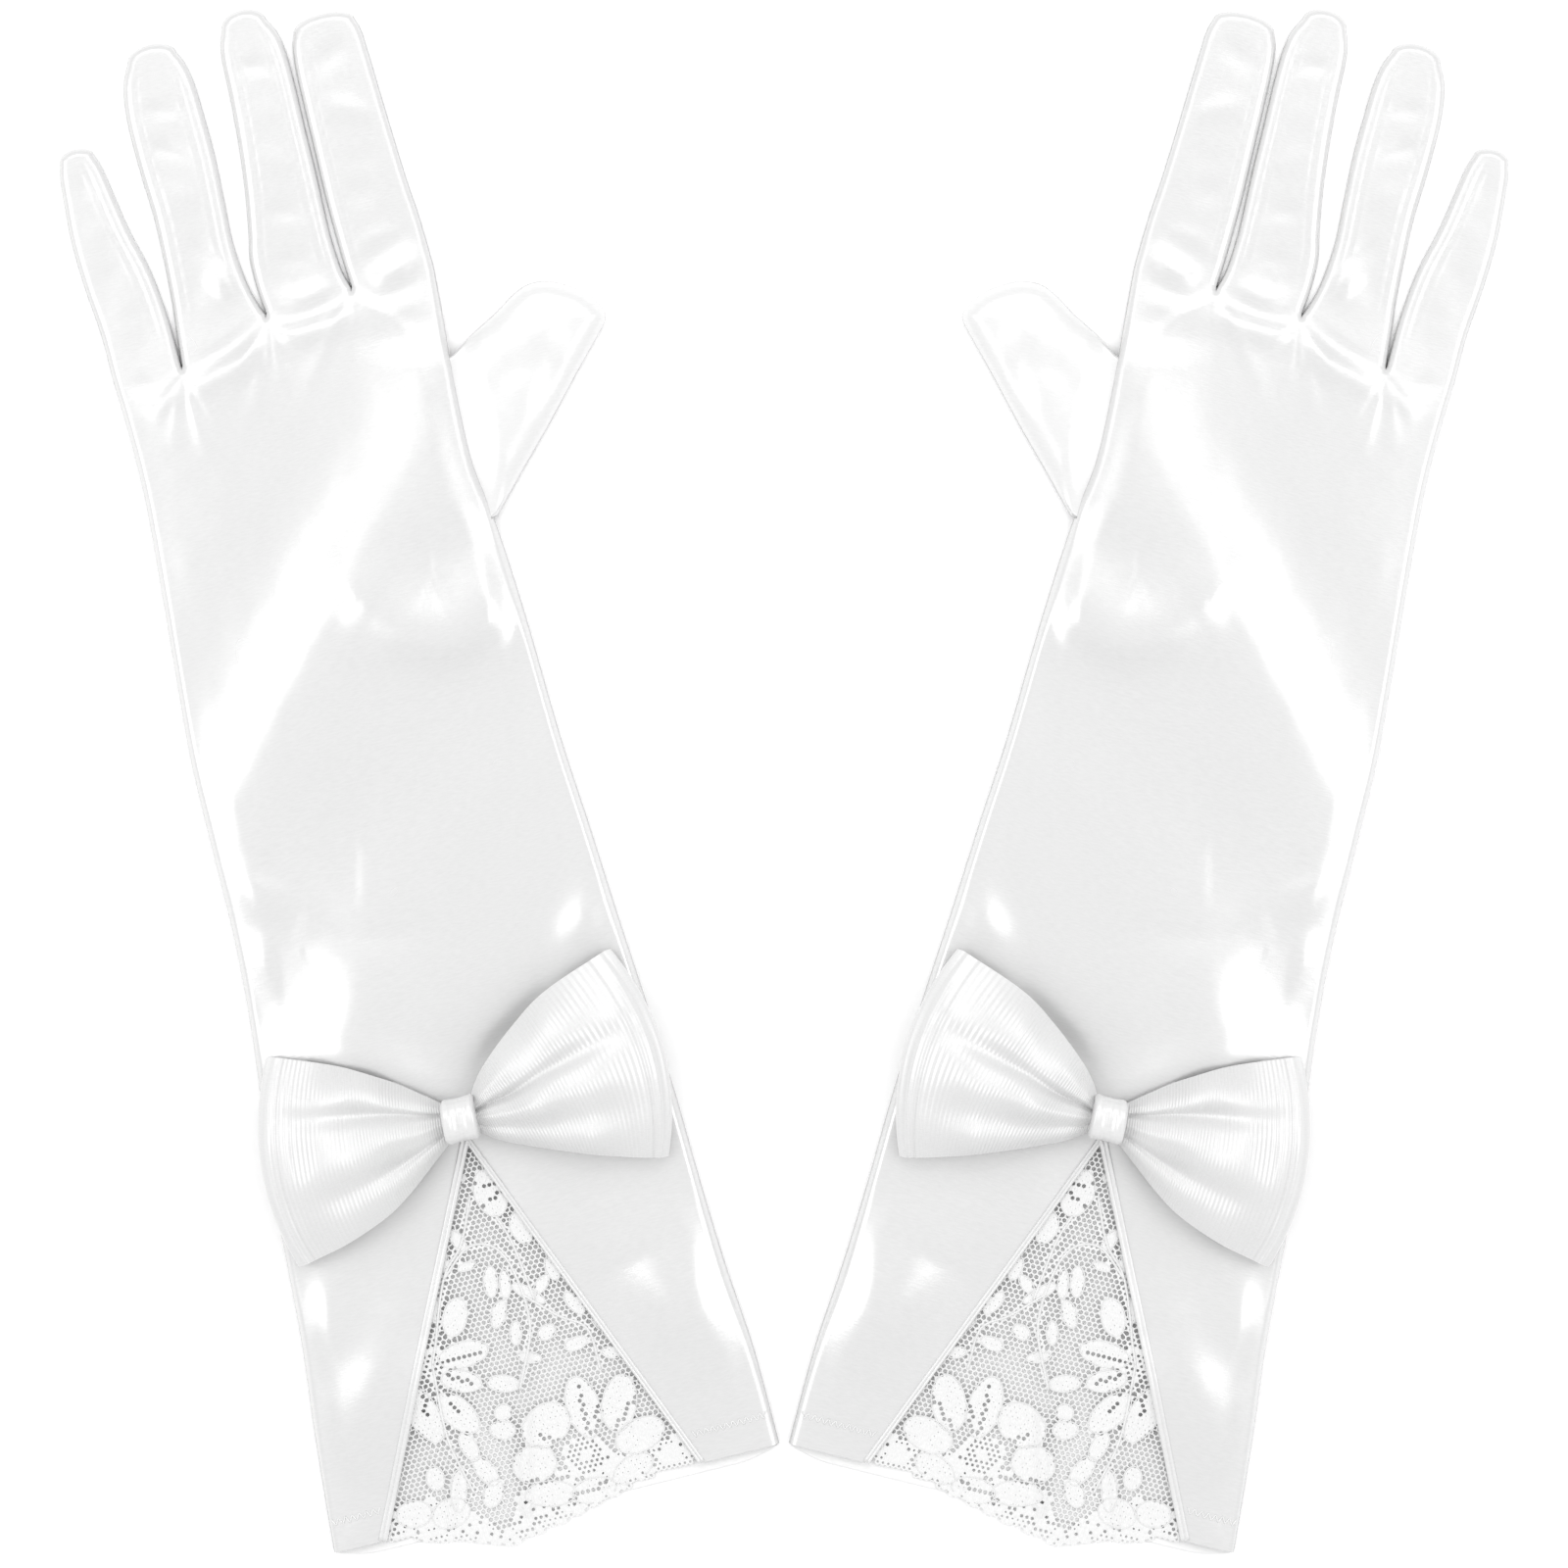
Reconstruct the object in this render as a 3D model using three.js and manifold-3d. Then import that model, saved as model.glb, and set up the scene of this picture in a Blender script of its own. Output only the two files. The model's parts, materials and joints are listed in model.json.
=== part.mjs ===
// A pair of elbow-length opera gloves in stretch satin, laid flat side by side, backs of the hands up.
// Each glove has a lace gusset with a bow in its sleeve. Millimetres, +Z up, fingers towards +Y.
// A glove is drawn in its own frame: X across it towards the thumb, Y along it from the cuff's middle.

import * as THREE from 'three';
import { mergeVertices } from 'three/addons/utils/BufferGeometryUtils.js';
import Module from 'manifold-3d';

const wasm = await Module();
wasm.setup();

// ---- Driving dimensions ----

// The pair
const splay = THREE.MathUtils.degToRad(13.8); // how far each glove leans outwards
const pairGap = 0.9; // between the two cuffs

// Fabric and clearances
const fabric = 0.7; // two plies of satin at a seam
const seamGap = 0.3; // between two pieces that are sewn together
const jointGap = 0.5; // between two bodies that fold on each other
const reach = 60; // how far a cutting block runs past what it cuts
const skim = 1; // the same, past a face that it only has to clear

// Sleeve and palm: heights as laid, flat widths, and places along the glove
const armHeight = 10;
const cuffWidth = 117.4;
const forearmWidth = 106;
const lowerArmWidth = 94.2;
const wristWidth = 89.6;
const palmWidth = 84.4;
const forearmAt = 96; // from the cuff
const lowerArmBeforeWrist = 52;
const sleeveLength = 238; // cuff to wrist crease
const palmWidthAt = 36; // from the wrist crease
const palmLength = 75.5; // wrist crease to the index finger's knuckle line
const palmLayerOverhang = 2.5; // the palm side's cuff shows beyond the back's

// Fingers, from the little finger's edge of the hand. setBack is how far the knuckle line lies
// behind the index finger's, and tipShift is how far the tip leans towards the thumb.
const fingerHeight = 8;
const knuckleFlare = 12; // length over which a finger narrows from its base
const tipRound = 9; // length of a rounded fingertip
const fourchetteWidth = 3.6;
const handOffset = 0.6; // middle of the knuckles, towards the thumb
const fingers = [
  { name: 'little', baseWidth: 18.4, shaftWidth: 17.2, tipWidth: 12.4, length: 60, setBack: 8.5,
    shaftShift: -0.2, tipShift: -4.2, fourchettes: [1] },
  { name: 'ring', baseWidth: 24, shaftWidth: 19, tipWidth: 18.4, length: 77.5, setBack: 4.5,
    shaftShift: -0.4, tipShift: -0.8, fourchettes: [-1, 1] },
  { name: 'middle', baseWidth: 22.4, shaftWidth: 19.6, tipWidth: 16.4, length: 76.5, setBack: 0.5,
    shaftShift: -0.4, tipShift: 1.6, fourchettes: [-1, 1] },
  { name: 'index', baseWidth: 22.4, shaftWidth: 20.8, tipWidth: 19, length: 70.2, setBack: 0,
    shaftShift: -0.5, tipShift: -1.1, fourchettes: [-1] },
];

// Thumb
const thumbHeight = 9;
const thumbLength = 47.5; // from the hand's edge to the tip, along the thumb
const thumbBaseWidth = 34;
const thumbTipWidth = 23;
const thumbTipRound = 12;
const thumbLean = THREE.MathUtils.degToRad(49.6); // from the glove's length, away from the fingers
const thumbFromWrist = 31.3; // middle of the thumb's base, from the wrist crease
const thumbHoleLength = 35;
const thumbHoleHeight = 5;
const thumbHoleDepth = 9; // into the hand from the hinge line
const thumbRunOn = 22; // past the hinge line before it is cut off there

// Lace gusset and its bindings
const gussetLength = 95.6;
const gussetApexX = -0.5;
const gussetOuterFoot = 44.7; // from the apex, towards the little finger's side
const gussetInnerFoot = 37.5; // from the apex, towards the thumb's side
const gussetDip = 9; // how far the lace hangs past the cuff
const scallops = 9;
const scallopDepth = 1.6;
const laceThickness = 0.5;
const laceDrop = 0.1; // below the satin's face
const bindingWidth = 2.4;
const bindingHeight = 1.3;
const bindingProud = 0.4; // above the satin's face

// Bow
const bowY = 100.7;
const bowHeight = 13;
const bowWaistHeight = 8; // of a loop where it enters the knot
const loopLength = 45.5;
const loopWidth = 54; // at the outer end
const loopWaistWidth = 12;
const loopBulge = 4; // the outer end's curve
const loopRise = { outer: 0, inner: 5.4 }; // how far a loop's outer end sits towards the fingers
const ribbon = 1;
const knotWidth = 9.6;
const knotLength = 11.5;
const knotHeight = 12.5;
const knotRound = 2.5;

// ---- Places that follow from them ----

const wristY = sleeveLength;
const knuckleWidth = fingers.reduce((sum, finger) => sum + finger.baseWidth, 0);
const knuckleLeft = handOffset - knuckleWidth / 2;
const indexKnuckleY = wristY + palmLength;
const thumbY = wristY + thumbFromWrist;
const bowBottom = armHeight + bindingProud + seamGap;
const farAcross = cuffWidth + reach; // past both gloves' edges
const farAlong = indexKnuckleY + 3 * reach; // past the longest fingertip

// ---- How finely curves are cut ----

const flatSteps = 3;
const armSteps = 2;
const fingerSteps = 4;
const thumbSteps = 5;
const loopSteps = 6;

// ---- Colours ----

const satin = { color: '#f3f3f1', roughness: 0.38, metalness: 0 };
const lace = { color: '#f6f6f4', roughness: 0.8, metalness: 0 };
const grosgrain = { color: '#f1f1ef', roughness: 0.6, metalness: 0 };

// ---- Solids and meshes ----

function toSolid(geometry) {
  const bare = geometry.clone();
  bare.deleteAttribute('normal');
  bare.deleteAttribute('uv');
  const merged = mergeVertices(bare, 1e-4);
  const vertProperties = new Float32Array(merged.attributes.position.array);
  const triVerts = new Uint32Array(merged.index.array);
  return new wasm.Manifold(new wasm.Mesh({ numProp: 3, vertProperties, triVerts }));
}

function toMesh(name, solid, look) {
  const { vertProperties, triVerts } = solid.getMesh();
  const geometry = new THREE.BufferGeometry();
  geometry.setAttribute('position', new THREE.BufferAttribute(vertProperties, 3));
  geometry.setIndex(new THREE.BufferAttribute(triVerts, 1));
  geometry.computeVertexNormals();
  const mesh = new THREE.Mesh(geometry, new THREE.MeshStandardMaterial(look));
  mesh.name = name;
  return mesh;
}

// A block between two corners
function block(low, high) {
  const size = high.map((value, axis) => value - low[axis]);
  const geometry = new THREE.BoxGeometry(...size);
  geometry.translate(...low.map((value, axis) => value + size[axis] / 2));
  return toSolid(geometry);
}

// A block right across the glove, between two places along it and two heights
function slab(fromY, toY, fromZ = -skim, toZ = reach) {
  return block([-farAcross, fromY, fromZ], [farAcross, toY, toZ]);
}

// A flat plate of an outline, between two heights
function plate(shape, bottom, top, curveSegments = flatSteps) {
  const options = { depth: top - bottom, bevelEnabled: false, curveSegments };
  const geometry = new THREE.ExtrudeGeometry(shape, options);
  geometry.translate(0, 0, bottom);
  return toSolid(geometry);
}

// A laid-flat bag of an outline: flat above and below, half-round at its edges, inset all round
function pillow(shape, height, inset, curveSegments, turn = 0, at = [0, 0]) {
  const round = height / 2;
  const flat = 0.02; // the straight part of the half-round edge
  const geometry = new THREE.ExtrudeGeometry(shape, {
    depth: flat,
    bevelThickness: round - inset - flat / 2,
    bevelSize: round - inset,
    bevelOffset: -round,
    bevelSegments: 2,
    curveSegments,
  });
  geometry.translate(0, 0, round - flat / 2);
  geometry.rotateZ(turn);
  geometry.translate(at[0], at[1], 0);
  return toSolid(geometry);
}

function shell(...description) {
  const [shape, height, ...rest] = description;
  return pillow(shape, height, 0, ...rest).subtract(pillow(shape, height, fabric, ...rest));
}

// The parts of a shell above and below its seam
function aboveSeam(solid, height) {
  return solid.subtract(slab(-reach, farAlong, -skim, height / 2 + seamGap / 2));
}

function belowSeam(solid, height) {
  return solid.subtract(slab(-reach, farAlong, height / 2 - seamGap / 2));
}

// ---- Sleeve and hand ----

// The flat width of the arm and palm along the glove, run on straight past both ends
function armOutline() {
  const runOn = 2 * armHeight;
  const stations = [
    [0, cuffWidth / 2],
    [forearmAt, forearmWidth / 2],
    [wristY - lowerArmBeforeWrist, lowerArmWidth / 2],
    [wristY, wristWidth / 2],
    [wristY + palmWidthAt, palmWidth / 2],
    [indexKnuckleY, knuckleWidth / 2],
  ];
  const middle = (y) => handOffset * THREE.MathUtils.smoothstep(y, 0, indexKnuckleY);
  const side = (sign) => stations.map(([y, half]) => new THREE.Vector2(middle(y) + sign * half, y));
  const thumbSide = side(1);
  const littleSide = side(-1).reverse();
  const shape = new THREE.Shape();
  shape.moveTo(thumbSide[0].x, -runOn);
  shape.lineTo(thumbSide[0].x, 0);
  shape.splineThru(thumbSide.slice(1));
  shape.lineTo(thumbSide.at(-1).x, indexKnuckleY + runOn);
  shape.lineTo(littleSide[0].x, indexKnuckleY + runOn);
  shape.lineTo(littleSide[0].x, littleSide[0].y);
  shape.splineThru(littleSide.slice(1));
  shape.lineTo(littleSide.at(-1).x, -runOn);
  return shape;
}

// The thumb's hinge line clears the hand's edge all along the thumb's base
function thumbHingeX() {
  const halfBase = thumbBaseWidth / 2 / Math.sin(thumbLean);
  const edge = armOutline().getPoints(12); // steps in each curve of the outline
  const alongBase = edge.filter((point) => Math.abs(point.y - thumbY) < halfBase);
  return Math.max(...alongBase.map((point) => point.x)) + jointGap / 2;
}

// A strip beside one edge of the gusset, between two distances inwards from it
function gussetLineStrip(footX, from, to) {
  const apex = new THREE.Vector2(gussetApexX, gussetLength);
  const along = new THREE.Vector2(footX, -gussetLength).normalize();
  const inward = new THREE.Vector2(along.y, -along.x).multiplyScalar(Math.sign(footX));
  const start = apex.clone().addScaledVector(along, -reach);
  const end = apex.clone().addScaledVector(along, gussetLength + reach);
  const corners = [
    start.clone().addScaledVector(inward, from),
    end.clone().addScaledVector(inward, from),
    end.clone().addScaledVector(inward, to),
    start.clone().addScaledVector(inward, to),
  ];
  return new THREE.Shape(footX > 0 ? corners.reverse() : corners);
}

// The notch in the back of the sleeve, run on past the cuff
function notchOutline() {
  const runOn = 1 + reach / gussetLength;
  return new THREE.Shape([
    new THREE.Vector2(gussetApexX, gussetLength),
    new THREE.Vector2(gussetApexX - gussetOuterFoot * runOn, -reach),
    new THREE.Vector2(gussetApexX + gussetInnerFoot * runOn, -reach),
  ]);
}

function sleevePieces(arm) {
  const sleeve = arm.subtract(slab(wristY - jointGap / 2, farAlong));
  const backCuff = slab(-reach, 0);
  const palmCuff = slab(-reach, -palmLayerOverhang);
  const notch = plate(notchOutline(), armHeight / 2 + skim, armHeight + skim);
  return [
    ['sleeve_back_panel', aboveSeam(sleeve, armHeight).subtract(backCuff).subtract(notch), satin],
    ['sleeve_palm_panel', belowSeam(sleeve, armHeight).subtract(palmCuff), satin],
  ];
}

function handPieces(arm) {
  const sleeveCut = slab(-reach, wristY + jointGap / 2);
  const thumbHole = block(
    [thumbHingeX() - thumbHoleDepth, thumbY - thumbHoleLength / 2, armHeight / 2 - thumbHoleHeight / 2],
    [thumbHingeX() + reach, thumbY + thumbHoleLength / 2, armHeight / 2 + thumbHoleHeight / 2],
  );
  let hand = arm.subtract(sleeveCut).subtract(thumbHole);
  for (const finger of placedFingers()) {
    const first = finger.name === 'little' ? reach : seamGap / 2;
    const last = finger.name === 'index' ? reach : seamGap / 2;
    hand = hand.subtract(block(
      [finger.left - first, finger.knuckleY - jointGap / 2, -skim],
      [finger.right + last, finger.knuckleY + reach, reach],
    ));
  }
  return [
    ['hand_back_panel', aboveSeam(hand, armHeight), satin],
    ['hand_palm_panel', belowSeam(hand, armHeight), satin],
  ];
}

// ---- Fingers and thumb ----

function placedFingers() {
  let left = knuckleLeft;
  return fingers.map((finger) => {
    const right = left + finger.baseWidth;
    const placed = { ...finger, left, right, middle: (left + right) / 2 };
    placed.knuckleY = indexKnuckleY - finger.setBack;
    left = right;
    return placed;
  });
}

// A finger seen from above, run on below its knuckle line
function fingerOutline(finger) {
  const { left, right, middle, knuckleY, length } = finger;
  const { shaftWidth, tipWidth, shaftShift, tipShift } = finger;
  const base = knuckleY - fingerHeight;
  const shaftY = knuckleY + knuckleFlare;
  const tipY = knuckleY + length - tipRound;
  const shaftX = middle + shaftShift;
  const tipX = middle + tipShift;
  const shaftRight = shaftX + shaftWidth / 2;
  const shaftLeft = shaftX - shaftWidth / 2;
  const flareY = knuckleY + knuckleFlare / 2;
  const shape = new THREE.Shape();
  shape.moveTo(right - seamGap / 2, base);
  shape.lineTo(right - seamGap / 2, knuckleY);
  shape.quadraticCurveTo(shaftRight, flareY, shaftRight, shaftY);
  shape.lineTo(tipX + tipWidth / 2, tipY);
  shape.absellipse(tipX, tipY, tipWidth / 2, tipRound, 0, Math.PI);
  shape.lineTo(shaftLeft, shaftY);
  shape.quadraticCurveTo(shaftLeft, flareY, left + seamGap / 2, knuckleY);
  shape.lineTo(left + seamGap / 2, base);
  return shape;
}

function fingerPieces(finger) {
  const { name, middle, knuckleY, length } = finger;
  const handCut = slab(-reach, knuckleY + jointGap / 2);
  const whole = shell(fingerOutline(finger), fingerHeight, fingerSteps).subtract(handCut);
  const seamZ = fingerHeight / 2;
  const bandEnd = knuckleY + length - tipRound;
  const bandHalf = fourchetteWidth / 2;
  const band = (side, margin) => block(
    [Math.min(middle, middle + side * reach), knuckleY - skim, seamZ - bandHalf - margin],
    [Math.max(middle, middle + side * reach), bandEnd + margin, seamZ + bandHalf + margin],
  );
  let skins = whole;
  const strips = [];
  for (const side of finger.fourchettes) {
    skins = skins.subtract(band(side, seamGap));
    const facing = side > 0 ? 'thumbward' : 'outward';
    strips.push([`${name}_fourchette_${facing}`, whole.intersect(band(side, 0)), satin]);
  }
  return [
    [`${name}_back_strip`, aboveSeam(skins, fingerHeight), satin],
    [`${name}_palm_strip`, belowSeam(skins, fingerHeight), satin],
    ...strips,
  ];
}

// The thumb along +Y from the middle of its base, run on behind the hinge line
function thumbOutline() {
  const tipY = thumbLength - thumbTipRound;
  const shape = new THREE.Shape();
  shape.moveTo(thumbBaseWidth / 2, -thumbRunOn);
  shape.lineTo(thumbBaseWidth / 2, 0);
  shape.lineTo(thumbTipWidth / 2, tipY);
  shape.absellipse(0, tipY, thumbTipWidth / 2, thumbTipRound, 0, Math.PI);
  shape.lineTo(-thumbBaseWidth / 2, 0);
  shape.lineTo(-thumbBaseWidth / 2, -thumbRunOn);
  return shape;
}

function thumbPieces() {
  const hingeX = thumbHingeX();
  const whole = shell(thumbOutline(), thumbHeight, thumbSteps, -thumbLean, [hingeX, thumbY]);
  const handCut = block([-farAcross, -reach, -skim], [hingeX + jointGap / 2, farAlong, reach]);
  return [['thumb', whole.subtract(handCut), satin]];
}

// ---- Gusset and bow ----

// The gusset's triangle, with a bowed and scalloped lower edge
function laceOutline() {
  const left = gussetApexX - gussetOuterFoot;
  const width = gussetOuterFoot + gussetInnerFoot;
  const edgeY = (t) => scallopDepth - gussetDip * Math.sin(Math.PI * t);
  const edge = (t) => new THREE.Vector2(left + width * t, edgeY(t));
  const shape = new THREE.Shape();
  shape.moveTo(gussetApexX, gussetLength);
  shape.lineTo(left, edge(0).y);
  for (let i = 0; i < scallops; i += 1) {
    const middle = edge((i + 0.5) / scallops);
    const end = edge((i + 1) / scallops);
    shape.quadraticCurveTo(middle.x, middle.y - 2 * scallopDepth, end.x, end.y);
  }
  return shape;
}

function gussetPieces() {
  const top = armHeight - laceDrop;
  const margin = bindingWidth + 2 * seamGap;
  const bindingTop = armHeight + bindingProud;
  const bindingBottom = bindingTop - bindingHeight;
  let net = plate(laceOutline(), top - laceThickness, top);
  const bindings = [['outer', -gussetOuterFoot], ['inner', gussetInnerFoot]].map(([name, footX]) => {
    net = net.subtract(plate(gussetLineStrip(footX, -reach, margin), 0, armHeight + skim));
    const outline = gussetLineStrip(footX, seamGap, seamGap + bindingWidth);
    const strip = plate(outline, bindingBottom, bindingTop);
    const side = Math.sign(footX);
    const near = gussetApexX + (side * seamGap) / 2;
    const far = gussetApexX + side * 3 * reach;
    const half = block(
      [Math.min(near, far), 0, 0],
      [Math.max(near, far), gussetLength, armHeight + reach],
    );
    return [`gusset_binding_${name}`, strip.intersect(half), satin];
  });
  return [['lace_gusset', net, lace], ...bindings];
}

// A loop's ribbon seen from its side: a teardrop from the knot to a round outer end
function teardrop(start, end, waist, height, inset) {
  const round = height / 2 - inset;
  const shape = new THREE.Shape();
  shape.moveTo(start, inset);
  shape.lineTo(end - height / 2, inset);
  shape.absarc(end - height / 2, height / 2, round, -Math.PI / 2, Math.PI / 2);
  shape.lineTo(start, waist - inset);
  return shape;
}

// A loop seen from above: a fan from the knot to a bulging outer end
function fanOutline(rise) {
  const start = knotWidth / 2 + seamGap;
  const end = start + loopLength;
  const shape = new THREE.Shape();
  shape.moveTo(start, bowY - loopWaistWidth / 2);
  shape.lineTo(end - loopBulge, bowY + rise - loopWidth / 2);
  shape.quadraticCurveTo(end + loopBulge, bowY + rise, end - loopBulge, bowY + rise + loopWidth / 2);
  shape.lineTo(start, bowY + loopWaistWidth / 2);
  return shape;
}

function bowLoop(name, side) {
  const start = knotWidth / 2 + seamGap;
  const end = start + loopLength;
  const cut = (shape) => {
    const options = { depth: 2 * loopWidth, bevelEnabled: false, curveSegments: loopSteps };
    const geometry = new THREE.ExtrudeGeometry(shape, options);
    geometry.rotateX(Math.PI / 2);
    geometry.translate(0, bowY + loopWidth, bowBottom);
    return toSolid(geometry);
  };
  const outside = cut(teardrop(start, end, bowWaistHeight, bowHeight, 0));
  const inside = cut(teardrop(start + ribbon, end, bowWaistHeight, bowHeight, ribbon));
  const top = bowBottom + bowHeight + skim;
  const fan = plate(fanOutline(loopRise[name]), bowBottom - skim, top, loopSteps - 1);
  const loop = outside.subtract(inside).intersect(fan);
  return [`bow_loop_${name}`, side < 0 ? loop.mirror([1, 0, 0]) : loop, grosgrain];
}

function bowKnot() {
  const half = [knotWidth / 2 - knotRound, knotLength / 2 - knotRound];
  const shape = new THREE.Shape([
    new THREE.Vector2(-half[0], -half[1]),
    new THREE.Vector2(half[0], -half[1]),
    new THREE.Vector2(half[0], half[1]),
    new THREE.Vector2(-half[0], half[1]),
  ]);
  const geometry = new THREE.ExtrudeGeometry(shape, {
    depth: knotHeight - 2 * knotRound,
    bevelThickness: knotRound,
    bevelSize: knotRound,
    bevelSegments: 3,
  });
  geometry.translate(0, bowY, bowBottom + knotRound);
  return ['bow_knot', toSolid(geometry), satin];
}

// ---- The pair ----

function glove(side) {
  const arm = shell(armOutline(), armHeight, armSteps);
  const pieces = [
    ...sleevePieces(arm),
    ...gussetPieces(),
    bowLoop('outer', -1),
    bowLoop('inner', 1),
    bowKnot(),
    ...handPieces(arm),
    ...thumbPieces(),
    ...placedFingers().flatMap(fingerPieces),
  ];
  const group = new THREE.Group();
  for (const [name, solid, look] of pieces) {
    group.add(toMesh(`${side}_${name}`, solid, look));
  }
  const cuffCorner = (cuffWidth / 2) * Math.cos(splay) + palmLayerOverhang * Math.sin(splay);
  group.position.x = -cuffCorner - pairGap / 2;
  group.rotation.z = splay;
  return group;
}

const pair = new THREE.Group();
const rightGlove = new THREE.Group();
rightGlove.add(glove('right'));
rightGlove.scale.x = -1;
pair.add(glove('left'), rightGlove);

// The origin is under the middle of the pair, on the surface that it lies on
const extent = new THREE.Box3().setFromObject(pair, true);
pair.position.y = -(extent.min.y + extent.max.y) / 2;

export default pair;
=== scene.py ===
"""Looks for a pair of satin opera gloves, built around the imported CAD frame.

Shapes are worked out in one glove's own frame, in millimetres: x across the glove towards the
thumb, y from the cuff to the fingertips, z up from the surface that the glove lies on. place()
turns them into metres in the row frame, as they are for the left glove and mirrored for the right.
"""

import json
import math

import bpy
import numpy as np
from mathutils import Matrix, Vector


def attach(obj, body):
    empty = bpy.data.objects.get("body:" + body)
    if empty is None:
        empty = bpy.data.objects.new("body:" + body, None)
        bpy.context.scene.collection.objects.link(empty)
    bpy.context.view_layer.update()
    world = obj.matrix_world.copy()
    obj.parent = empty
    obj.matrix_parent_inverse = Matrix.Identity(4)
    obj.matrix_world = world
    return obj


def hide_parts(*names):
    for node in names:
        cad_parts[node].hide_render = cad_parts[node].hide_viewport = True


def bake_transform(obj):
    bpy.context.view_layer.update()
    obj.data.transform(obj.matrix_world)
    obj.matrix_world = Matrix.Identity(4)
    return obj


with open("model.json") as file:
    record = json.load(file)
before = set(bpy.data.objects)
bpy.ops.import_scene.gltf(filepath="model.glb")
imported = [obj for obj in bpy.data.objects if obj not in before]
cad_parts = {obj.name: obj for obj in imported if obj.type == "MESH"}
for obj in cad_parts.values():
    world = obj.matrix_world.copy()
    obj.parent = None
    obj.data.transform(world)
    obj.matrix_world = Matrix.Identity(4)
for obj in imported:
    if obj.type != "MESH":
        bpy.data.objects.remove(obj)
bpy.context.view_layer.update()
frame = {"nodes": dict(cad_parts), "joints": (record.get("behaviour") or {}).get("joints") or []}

JOINTS = {joint["name"]: joint for joint in frame["joints"]}
SIDES = ("left", "right")
MM = 0.001
MERGE_DISTANCE = 1e-3
EDGE_ROUND = 0.15  # the share of a layer's rise that its rounded edge takes

# ---- the glove's own frame

WRIST_LOCAL = np.array([0.4, 238.0])  # where the CAD's wrist fold crosses the glove's middle line
WRIST = JOINTS["left_wrist_fold"]
WRIST_ROW = np.array(WRIST["pos_m"][:2]) / MM
ACROSS = np.array(WRIST["axis"][:2])
ACROSS = ACROSS / np.linalg.norm(ACROSS)
ALONG = np.array([-ACROSS[1], ACROSS[0]])


def turn(directions, side, start=0):
    """Directions in a glove's own frame as they are in the row frame, from a start in plan."""
    row = start + directions[:, :1] * ACROSS + directions[:, 1:2] * ALONG
    if side == "right":
        row[:, 0] *= -1
    return np.column_stack([row, directions[:, 2]])


def place(points, side):
    """Points in a glove's own frame, in mm, as points in the row frame, in metres."""
    return turn(points - [*WRIST_LOCAL, 0], side, WRIST_ROW) * MM


def place_point(x, y, z, side):
    return tuple(place(np.array([[x, y, z]], float), side)[0])


# ---- small maths


def smooth(t):
    t = np.clip(t, 0, 1)
    return t * t * (3 - 2 * t)


def round_over(q):
    """A quarter circle: 0 at q = 0 with an upright start, 1 from q = 1 on."""
    return np.sqrt(np.maximum(0, 1 - (1 - np.clip(q, 0, 1)) ** 2))


def side_profile(q):
    """How the layer rises from its edge: a small round, then an even slope that eases off."""
    q = np.clip(q, 0, 1)
    return EDGE_ROUND * round_over(3 * q) + (1 - EDGE_ROUND) * (1 - (1 - q) ** 2)


def bell(d, width):
    """1 at no distance, and about a third at that width."""
    return np.exp(-((d / width) ** 2))


def swell(t, ends):
    """Along a line: 1 at its middle, and that much at its ends."""
    return ends + (1 - ends) * np.sin(np.pi * t)


def curve(points, per=8):
    """A Catmull-Rom curve through the points, with per steps between each two."""
    p = np.array(points, float)
    ends = np.vstack([2 * p[0] - p[1], p, 2 * p[-1] - p[-2]])
    t = np.linspace(0, 1, per, endpoint=False)[:, None]
    made = []
    for i in range(len(p) - 1):
        a, b, c, d = ends[i : i + 4]
        made.append(
            0.5 * (2 * b + (c - a) * t + (2 * a - 5 * b + 4 * c - d) * t**2
                   + (3 * b - a - 3 * c + d) * t**3)
        )
    return np.vstack(made + [p[-1:]])


def resample(line, count):
    """count points spaced evenly along a polyline."""
    steps = np.linalg.norm(np.diff(line, axis=0), axis=1)
    s = np.concatenate([[0], np.cumsum(steps)])
    at = np.linspace(0, s[-1], count)
    return np.column_stack([np.interp(at, s, line[:, k]) for k in range(line.shape[1])])


def to_line(points, line, signed=False):
    """Each point's distance to a polyline, and how far along it the nearest place is, 0 to 1.
    A signed distance is positive on the line's left."""
    a, b = line[:-1], line[1:]
    step = b - a
    length = np.linalg.norm(step, axis=1)
    start = np.concatenate([[0], np.cumsum(length)])[:-1]
    total = length.sum()
    best = np.full(len(points), np.inf)
    where = np.zeros(len(points))
    left = np.ones(len(points))
    for i in range(len(a)):
        if length[i] < 1e-9:
            continue
        t = np.clip(((points - a[i]) @ step[i]) / length[i] ** 2, 0, 1)
        d = np.linalg.norm(points - (a[i] + t[:, None] * step[i]), axis=1)
        nearer = d < best
        best[nearer] = d[nearer]
        where[nearer] = (start[i] + t[nearer] * length[i]) / total
        if signed:
            q = points[nearer] - a[i]
            left[nearer] = np.where(step[i, 0] * q[:, 1] - step[i, 1] * q[:, 0] > 0, 1, -1)
    return best * left, np.clip(where, 0, 1)


def noise(points, size, seed):
    """Smooth seeded noise from -1 to 1 with features of about that size: a sum of plane waves."""
    rng = np.random.default_rng(seed)
    out = np.zeros(len(points))
    waves = 14
    for _ in range(waves):
        angle, phase = rng.uniform(0, 2 * np.pi, 2)
        wavelength = size * rng.uniform(1.3, 2.6)
        k = np.array([np.cos(angle), np.sin(angle)]) * 2 * np.pi / wavelength
        out += np.sin(points @ k + phase)
    return out / math.sqrt(waves)


# ---- meshes


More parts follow.
